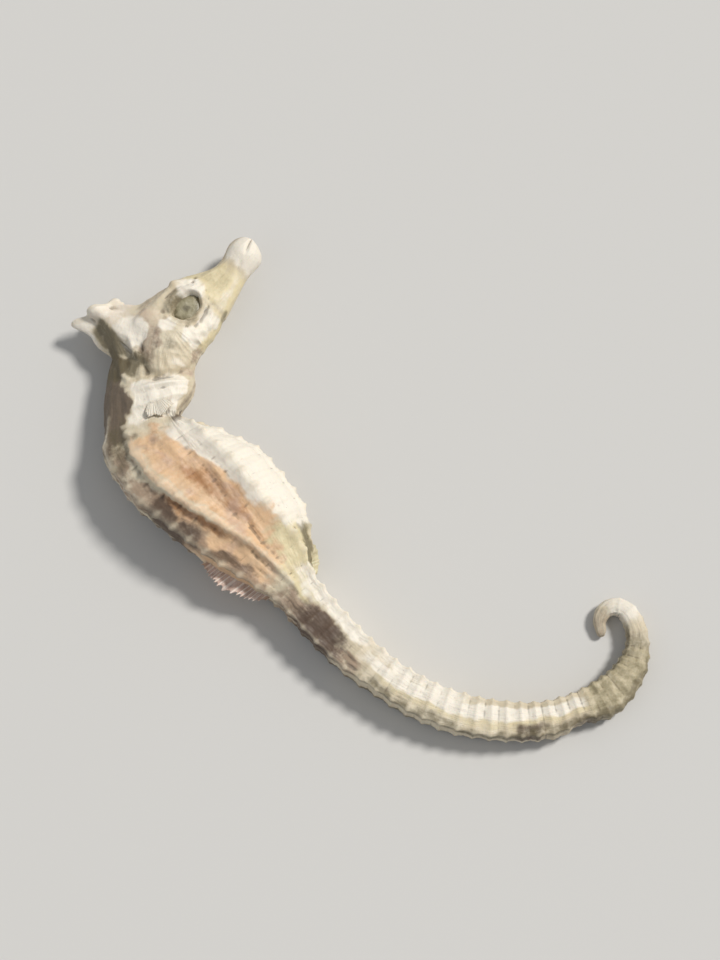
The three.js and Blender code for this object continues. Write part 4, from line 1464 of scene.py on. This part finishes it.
    def _surface(self, s: Array, angle: Array, opened: Array, slit: Array) -> Array:
        """Places the skin, without its fine wrinkles.

        Args:
            s: Distances along the axis.
            angle: Angles round it, in radians.
            opened: How far the section is open, 0 to 1.
            slit: The scale of the mouth's slit.

        Returns:
            The points, one row each.
        """
        shape, mouth = self.shape, self.mouth
        back, side = shape.section(s, angle)
        degrees = np.degrees(np.abs(angle))
        relief = shape.relief(s, degrees)
        on_flank = smoothstep(*self.flank_sides, np.abs(np.sin(angle)))
        detail = self.socket.rise(s, back) + self.gill_cover.rise(s, back) + mouth.groove(s, back)
        for form in (*self.knobs, *self.folds):
            detail = detail + form.rise(s, back)
        relief = relief + detail * on_flank
        for crease in self.creases:
            relief = relief + crease.rise(s, degrees)
        nape = self.nape * bell(degrees, self.nape_spread) * window(s, *self.nape_along, 1.5)
        lips = self.lip * bell(s - self.lip_at, 0.7) - self.lip * bell(s - self.behind_lip, 1.0)
        relief = relief + nape + lips
        length = np.hypot(back, side)
        size = np.maximum(length + relief, self.least_radius) / length
        back, side = back * size, side * size
        slit_back = mouth.towards_back + slit * mouth.half_height * np.cos(angle)
        slit_side = slit * mouth.half_width * np.sin(angle)
        at_mouth = s < 0.5 * shape.axis.length
        back = np.where(at_mouth, mixed(slit_back, back, opened), back * opened)
        side = np.where(at_mouth, mixed(slit_side, side, opened), side * opened)
        points = shape.axis.beside(s, back, side)
        points[:, 2] = np.maximum(points[:, 2], 0.0)
        return points

    def _wrinkles(self, points: Array, flow: Array, s: Array, degrees: Array,
                  crown: Array) -> Array:
        """Gives the small unevenness of the dried skin.

        Args:
            points: The points of the skin.
            flow: Coordinates that follow the body.
            s: Distances along the axis.
            degrees: Angles from the back.
            crown: How far up the crown each point is.

        Returns:
            How far each point moves along its normal.
        """
        flank = window(s, *self.flank_along, 3.0) * window(degrees, *self.flank_around, 10.0)
        total = sum(grain.height * noise_at(points, grain.size, grain.seed)
                    for grain in self.grains)
        streaks = noise_at(flow * np.array([0.22, 1.0, 1.0]), 0.55, 4.0)
        creases = -np.abs(noise_at(flow * np.array([1.0, 0.45, 0.45]), 0.9, 5.0))
        share, _ = self.shape.ridge_at(s, degrees)
        thin = 1.0 - 0.65 * smoothstep(0.0, 6.0, 9.0 - s)
        neck = window(s, *self.neck_along, 2.0)
        total = total + streaks * (0.03 + 0.1 * flank + 0.05 * neck)
        total = total + creases * (0.05 + 0.1 * neck) * (1.0 - share)
        seam = self.shape.rings.suture(s + 0.12 * noise_at(points, 1.6, 6.0))
        total = total - self.seam_depth * seam * window(s, *self.seams_along, 2.0)
        return total * thin * np.where(crown > 0.3, 0.8, 1.0)

    def _ridges(self, s: Array, degrees: Array, crown: Array) -> Array:
        """Finds where bone stands up under the skin.

        Args:
            s: Distances along the axis.
            degrees: Angles from the back.
            crown: How far up the crown each point is.

        Returns:
            How far each point is on a raised bone, 0 to 1.
        """
        share, _ = self.shape.ridge_at(s, degrees)
        edge = self.shape.rings.edge(s) * window(s, *self.rings_along, 2.0)
        rim = window(crown, *self.crown_rim, 0.06)
        return np.clip(0.75 * share + 0.2 * edge + 0.25 * share * edge + rim, 0.0, 1.0)

    def _stains_and_painted_light(self, points: Array, s: Array, degrees: Array, crown: Array, turn: Array
                ) -> dict[str, Array]:
        """Lays the markings down: stains, and painted light and shade.

        Args:
            points: The points of the skin.
            s: Distances along the axis.
            degrees: Angles from the back.
            crown: How far up the crown each point is.
            turn: The angle round the crown's stalk, from the tail's side.

        Returns:
            The strength of each tint at each point.
        """
        layers = {tint.value: np.zeros_like(s) for tint in Tint}
        on_crown = smoothstep(*self.crown_foot, crown)
        plain = 1.0 - on_crown
        wide, fine = ([noise_at(points, size, seed) for seed in (11.0, 12.0)]
                      for size in self.drift_sizes)
        drift = [reach * (first + 0.5 * second)
                 for reach, first, second in zip(self.drift_reach, wide, fine)]
        for marking in MARKINGS:
            layer = layers[marking.tint.value]
            np.maximum(layer, marking.strength_at(s, degrees, drift) * plain, out=layer)
        # partly olive stain, partly painted shade low in the webs between the crown's points
        web = window(turn, 14.0, 58.0, 18.0) * window(crown, 0.08, 0.36, 0.12)
        bony = on_crown * (1.0 - web)
        layers[Tint.OLIVE.value] = np.maximum(layers[Tint.OLIVE.value], web)
        rear = 1.0 - smoothstep(8.0, 30.0, turn)
        tips = window(crown, 0.56, 0.74, 0.06)
        layers[Tint.IVORY.value] += (0.6 + 0.5 * rear) * bony + 0.3 * tips
        layers[Tint.PINK.value] += 0.6 * bony
        return layers

    def _shaded_creases(self, bm: bmesh.types.BMesh, s: Array, opened: Array) -> Array:
        """Finds the creases and the inside of the mouth, which the skin's material darkens with
        painted shade.

        Args:
            bm: The skin's mesh.
            s: Distances along the axis.
            opened: How far the section is open.

        Returns:
            How deep each vertex lies below its neighbours, 0 to 1.
        """
        bm.normal_update()
        depth = np.zeros(len(bm.verts))
        bm.verts.ensure_lookup_table()
        for vertex in bm.verts:
            near = [edge.other_vert(vertex).co for edge in vertex.link_edges]
            middle = sum(near, Vector()) / len(near)
            size = sum((co - vertex.co).length for co in near) / len(near)
            depth[vertex.index] = (middle - vertex.co).dot(vertex.normal) / max(size, 1e-6)
        links = np.array([(edge.verts[0].index, edge.verts[1].index) for edge in bm.edges])
        count = np.bincount(links.ravel(), minlength=len(depth))
        for _ in range(self.smoothing):
            total = np.bincount(links[:, 0], depth[links[:, 1]], len(depth))
            total += np.bincount(links[:, 1], depth[links[:, 0]], len(depth))
            depth = 0.5 * depth + 0.5 * total / count
        # the inside of the mouth gets the full painted shade
        inside = (s < 3.0) * (1.0 - smoothstep(0.0, 0.3, opened))
        return np.clip(smoothstep(*self.crease_shade_depth, depth) + inside, 0.0, 1.0)


@dataclass
class Eyes:
    """The two sunken eyes, one in each socket."""

    shape: BodyShape = BodyShape()
    socket: EyeSocket = EyeSocket()
    side: float = 2.05
    radius: float = 1.66
    oval: float = 1.14
    depth: float = 0.8
    dent: float = 0.34
    spokes: int = 26
    spoke_height: float = 0.012
    crumple: float = 0.08
    fold: float = 0.1
    columns: int = 64
    rows: int = 40
    finish: EyeFinish = EyeFinish()

    def build(self) -> list[bpy.types.Object]:
        """Makes both eyes.

        Returns:
            The right eye and the left eye.
        """
        material = self.finish.build()
        return [self._eye("right_eye", 1.0, material), self._eye("left_eye", -1.0, material)]

    def _eye(self, name: str, side: float, material: bpy.types.Material) -> bpy.types.Object:
        """Makes one eye.

        Args:
            name: The piece's name.
            side: 1 on the right flank and -1 on the left.
            material: Its material.

        Returns:
            The piece.
        """
        bm = bmesh.new()
        bmesh.ops.create_uvsphere(bm, u_segments=self.columns, v_segments=self.rows, radius=1.0)
        unit = np.array([vertex.co[:] for vertex in bm.verts])
        reach = np.hypot(unit[:, 0], unit[:, 1])
        turn = np.arctan2(unit[:, 1], unit[:, 0])
        front = unit[:, 2] > 0
        spoke = np.cos(self.spokes * turn + 3.0 * noise_at(unit, 0.5, side))
        spoke = spoke * window(reach, 0.35, 0.9, 0.1)
        crumple = noise_at(unit, 0.45, 7.0 * side)
        fold = 1.0 - np.abs(noise_at(unit, 0.7, 9.0 * side))
        dent = self.spoke_height * spoke - self.dent * bell(reach, 0.5)
        dent = dent + (self.crumple * crumple + self.fold * fold ** 3) * bell(reach, 0.6)
        out = unit[:, 2] * self.depth + np.where(front, dent, 0.0)
        centre, along, back = (part[0] for part in self.shape.axis.at(np.array([self.socket.at])))
        points = (centre + back * self.socket.towards_back
                  + np.outer(unit[:, 0], along) * self.radius * self.oval
                  + np.outer(unit[:, 1], back) * self.radius)
        points[:, 2] += side * (self.side + out)
        shaped(bm, points)
        return finished(bm, name, material, {"reach": reach, "spoke": 0.5 + 0.5 * spoke})


@dataclass
class Fin:
    """A dried fin: a thin closed sheet with rays, from its root to its edge."""

    rays: int
    notch: float
    membrane: float = 0.16
    ray_thickness: float = 0.4
    stray: float = 0.9
    per_ray: int = 5
    outward: int = 14
    ray_sharpness: int = 5
    ragged: float = 0.14
    thinning: float = 0.55
    rim: float = 0.35

    def sheet(self, place: Callable[[Array, Array, Array], Array], seed: float
              ) -> tuple[bmesh.types.BMesh, dict[str, Array]]:
        """Makes the sheet and lays it out.

        Args:
            place: Gives the point for a share along the root, a share of the
                way out, and a distance to either side of the sheet.
            seed: Moves the noise of the ragged edge.

        Returns:
            The mesh in millimetres, and its attributes.
        """
        bm = bmesh.new()
        bmesh.ops.create_grid(
            bm, x_segments=self.rays * self.per_ray, y_segments=self.outward, size=0.5)
        bmesh.ops.solidify(bm, geom=bm.faces[:], thickness=1.0)
        flat = np.array([vertex.co[:] for vertex in bm.verts])
        share, out = flat[:, 0] + 0.5, flat[:, 1] + 0.5
        layer = flat[:, 2]
        layer = np.where(layer > 0.5 * (layer.min() + layer.max()), 1.0, -1.0)
        stray = self.stray / self.rays * np.sin(9.0 * share + seed) * np.sin(math.pi * share)
        strayed = share + stray
        ray = np.abs(np.cos(math.pi * self.rays * strayed)) ** self.ray_sharpness
        rough = noise_at(np.stack([share * 9.0, out * 0.6, out * 0.0], axis=-1), 1.0, seed)
        reach = out * (1.0 - self.notch * (1.0 - ray) * out - self.ragged * (0.5 + rough) * out)
        rim = np.minimum(1.0, 4.0 * np.minimum(share, 1.0 - share) + self.rim)
        taper = (1.0 - self.thinning * out) * rim
        half = 0.5 * mixed(self.membrane, self.ray_thickness * np.ones_like(ray), ray) * taper
        shaped(bm, place(share, reach, layer * half))
        return bm, {"ray": ray, "outward": out}


@dataclass
class MiddleFins:
    """The fin of the back, shrivelled along its edge, and the tiny anal fin."""

    shape: BodyShape = BodyShape()
    back: tuple[float, float] = (42.6, 50.4)
    back_height: float = 2.0
    anal: tuple[float, float] = (48.2, 51.0)
    anal_height: float = 1.25
    anal_sweep: float = 0.5
    anal_wave: float = 0.12
    sunk: float = 0.5
    aside: float = 0.2
    wave: float = 0.34
    curl: float = 0.3
    crumple: float = 0.16
    back_fin: Fin = field(default_factory=lambda: Fin(rays=16, notch=0.2))
    anal_fin: Fin = field(default_factory=lambda: Fin(rays=4, notch=0.16))
    back_finish: FinFinish = FinFinish("dried_back_fin", 0xD5BDAF, 0xEEE1D5, 0xB89C8D)
    anal_finish: FinFinish = FinFinish("dried_anal_fin", 0xD6CCA8, 0xE9E1C6, 0xB8AE8C)
    back_seed: float = 11.0
    anal_seed: float = 12.0

    def build(self) -> list[bpy.types.Object]:
        """Makes both fins.

        Returns:
            The back fin and the anal fin.
        """
        back, back_values = self.back_fin.sheet(self._back_place, self.back_seed)
        anal, anal_values = self.anal_fin.sheet(self._anal_place, self.anal_seed)
        return [
            finished(back, "back_fin", self.back_finish.build(), back_values),
            finished(anal, "small_anal_fin", self.anal_finish.build(), anal_values),
        ]

    def _back_place(self, share: Array, out: Array, aside: Array) -> Array:
        """Lays the back fin along the ridge of the back, curling at its edge.

        Args:
            share: The share along the root.
            out: The share of the way out.
            aside: The distance to either side of the sheet.

        Returns:
            The points, one row each.
        """
        s = mixed(self.back[0], self.back[1], share)
        rise = self.back_height * np.sin(math.pi * (0.05 + 0.9 * share ** 1.25)) ** 0.75
        depth = self.shape.back_depth(s) + mixed(-self.sunk, rise, out)
        wave = self.wave * out ** 1.5 * np.sin(19.0 * share + 1.2) + self.curl * out ** 2
        crumple = self.crumple * out * np.sin(47.0 * share)
        return self.shape.axis.beside(s, depth, self.aside + wave + crumple + aside)

    def _anal_place(self, share: Array, out: Array, aside: Array) -> Array:
        """Lays the anal fin under the belly, just before the tail.

        Args:
            share: The share along the root.
            out: The share of the way out.
            aside: The distance to either side of the sheet.

        Returns:
            The points, one row each.
        """
        s = mixed(self.anal[0], self.anal[1], share) + self.anal_sweep * out * share
        rise = self.anal_height * np.sin(math.pi * (0.02 + 0.96 * share)) ** 0.8
        depth = self.shape.belly_depth(s) + mixed(-self.sunk, rise, out)
        wave = self.anal_wave * out * np.sin(9.0 * share)
        return self.shape.axis.beside(s, -depth, wave + aside)


@dataclass
class PectoralFins:
    """The two breast fins, laid back over the neck behind the gill covers."""

    shape: BodyShape = BodyShape()
    at: float = 23.5
    towards_back: float = 0.6
    length: float = 3.0
    spread: float = 36.0
    root: float = 0.3
    lift: tuple[float, float] = (0.1, 0.06)
    seeds: tuple[float, float] = (21.0, 22.0)
    rounding: float = 0.2
    root_spread: float = 0.4
    root_sunk: float = 0.1
    swell: float = 0.12
    wave: float = 0.09
    floor_gap: float = 0.02
    fin: Fin = field(default_factory=lambda: Fin(
        rays=15, notch=0.03, membrane=0.1, ray_thickness=0.13))
    finish: FinFinish = FinFinish("dried_breast_fin", 0xE9DECB, 0xF0E8DA, 0xD3C5AE)

    def build(self) -> list[bpy.types.Object]:
        """Makes both fins.

        Returns:
            The right fin and the left fin.
        """
        material = self.finish.build()
        pieces = []
        for name, side, lift, seed in (("right_breast_fin", 1.0, self.lift[0], self.seeds[0]),
                                       ("left_breast_fin", -1.0, self.lift[1], self.seeds[1])):
            bm, values = self.fin.sheet(self._placer(side, lift), seed)
            pieces.append(finished(bm, name, material, values))
        return pieces

    def _placer(self, side: float, lift: float) -> Callable[[Array, Array, Array], Array]:
        """Gives the way one fin is laid out.

        Args:
            side: 1 on the right flank and -1 on the left.
            lift: How far its edge stands off the skin.

        Returns:
            A function of the share along the root, the share of the way out,
            and the distance to either side of the sheet.
        """
        def place(share: Array, out: Array, aside: Array) -> Array:
            """Spreads the fan over the flank.

            Args:
                share: The share along the root.
                out: The share of the way out.
                aside: The distance to either side of the sheet.

            Returns:
                The points, one row each.
            """
            across = 2.0 * share - 1.0
            turn = np.radians(self.spread) * across
            rounding = 1.0 - self.rounding * across ** 2
            reach = mixed(self.root, self.length * rounding, out)
            s = self.at + reach * np.cos(turn)
            back = self.towards_back + reach * np.sin(turn) + self.root_spread * across
            depth = np.where(back > 0, self.shape.back_depth(s), self.shape.belly_depth(s))
            inside = np.clip(1.0 - (back / depth) ** 2, 0.05, 1.0)
            skin = self.shape.flank_width(s) * np.sqrt(inside)
            wave = self.wave * np.sin(7.0 * share + 0.8) * out
            swell = self.swell * np.sin(math.pi * out)
            off = skin + mixed(-self.root_sunk, lift, out) + swell + wave
            points = self.shape.axis.beside(s, back, side * (off + aside))
            points[:, 2] = np.maximum(points[:, 2], self.floor_gap)
            return points
        return place


# ------------------------------------------------------------------ the studio

@dataclass(frozen=True)
class Light:
    """A broad, distant light: where it comes from, and its width in degrees."""

    name: str
    toward: tuple[float, float, float]
    width: float
    strength: float
    colour: tuple[float, float, float]


@dataclass
class Studio:
    """Pale floor, soft lights and the camera."""

    lights: tuple[Light, ...] = (
        Light("key", (0.62, 0.32, 0.82), 12.0, 2.75, (1.0, 0.982, 0.952)),
        Light("fill", (-0.75, -0.35, 0.60), 60.0, 0.3, (0.92, 0.96, 1.0)),
    )
    floor_size: float = 6.0
    elevation: float = 75.0
    lens: float = 85.0
    fill: float = 0.8
    sensor: float = 36.0
    aspect: float = 0.75
    sky: float = 0.34
    sky_colour: tuple[float, float, float, float] = (0.93, 0.96, 1.0, 1.0)
    nearest: float = 0.01

    def build(self) -> None:
        """Makes the floor, the lights, the sky and the camera."""
        low, high = CAD_BOX
        centre = (low + high) / 2.0
        self._floor()
        for light in self.lights:
            self._light(light)
        world = bpy.data.worlds.new("soft_sky")
        world.use_nodes = True
        background = world.node_tree.nodes["Background"]
        background.inputs[0].default_value = self.sky_colour
        background.inputs[1].default_value = self.sky
        bpy.context.scene.world = world
        bpy.context.scene.view_settings.view_transform = "Standard"
        self._camera(centre, (high - low)[0])

    def _floor(self) -> None:
        """Lays the floor under the object."""
        bm = bmesh.new()
        bmesh.ops.create_grid(bm, x_segments=1, y_segments=1, size=self.floor_size / METRES / 2.0)
        finished(bm, "floor", FloorFinish().build())

    def _light(self, light: Light) -> None:
        """Adds one light.

        Args:
            light: Where it comes from and how it shines.
        """
        data = bpy.data.lights.new(light.name, "SUN")
        data.angle = math.radians(light.width)
        data.energy, data.color = light.strength, light.colour
        lamp = bpy.data.objects.new(light.name, data)
        lamp.rotation_euler = (-Vector(light.toward)).to_track_quat("-Z", "Y").to_euler()
        bpy.context.scene.collection.objects.link(lamp)

    def _camera(self, centre: Vector, width: float) -> None:
        """Sets the camera up high above the front of the object.

        Args:
            centre: The middle of the object.
            width: The width of the object.
        """
        data = bpy.data.cameras.new("camera")
        data.lens, data.sensor_width, data.clip_start = self.lens, self.sensor, self.nearest
        half = math.atan(self.sensor * self.aspect / 2.0 / self.lens)
        distance = width / self.fill / 2.0 / math.tan(half)
        lift = math.radians(self.elevation)
        away = Vector((0.0, -math.cos(lift), math.sin(lift)))
        camera = bpy.data.objects.new("camera", data)
        camera.location = centre + away * distance
        camera.rotation_euler = (-away).to_track_quat("-Z", "Y").to_euler()
        bpy.context.scene.collection.objects.link(camera)
        bpy.context.scene.camera = camera


def main() -> None:
    """Builds the seahorse and its studio, and reports each piece."""
    logging.basicConfig(level=logging.INFO, format="%(name)s %(message)s")
    Studio().build()
    skin = Skin().build()
    right_eye, left_eye = Eyes().build()
    back_fin, anal_fin = MiddleFins().build()
    right_fin, left_fin = PectoralFins().build()
    for piece, slot, nodes in (
        (skin, "skin_ivory", FLESH),
        (right_eye, "eye", ["eye_right"]),
        (left_eye, "eye", ["eye_left"]),
        (back_fin, "fin", ["dorsal_fin"]),
        (anal_fin, "fin", ["anal_fin"]),
        (right_fin, "fin", ["pectoral_fin_right"]),
        (left_fin, "fin", ["pectoral_fin_left"]),
    ):
        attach(piece, BODY)
        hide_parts(*nodes)
        LOG.info("%s stands for %s", piece.name, ", ".join(nodes))


if __name__ == "__main__":
    main()
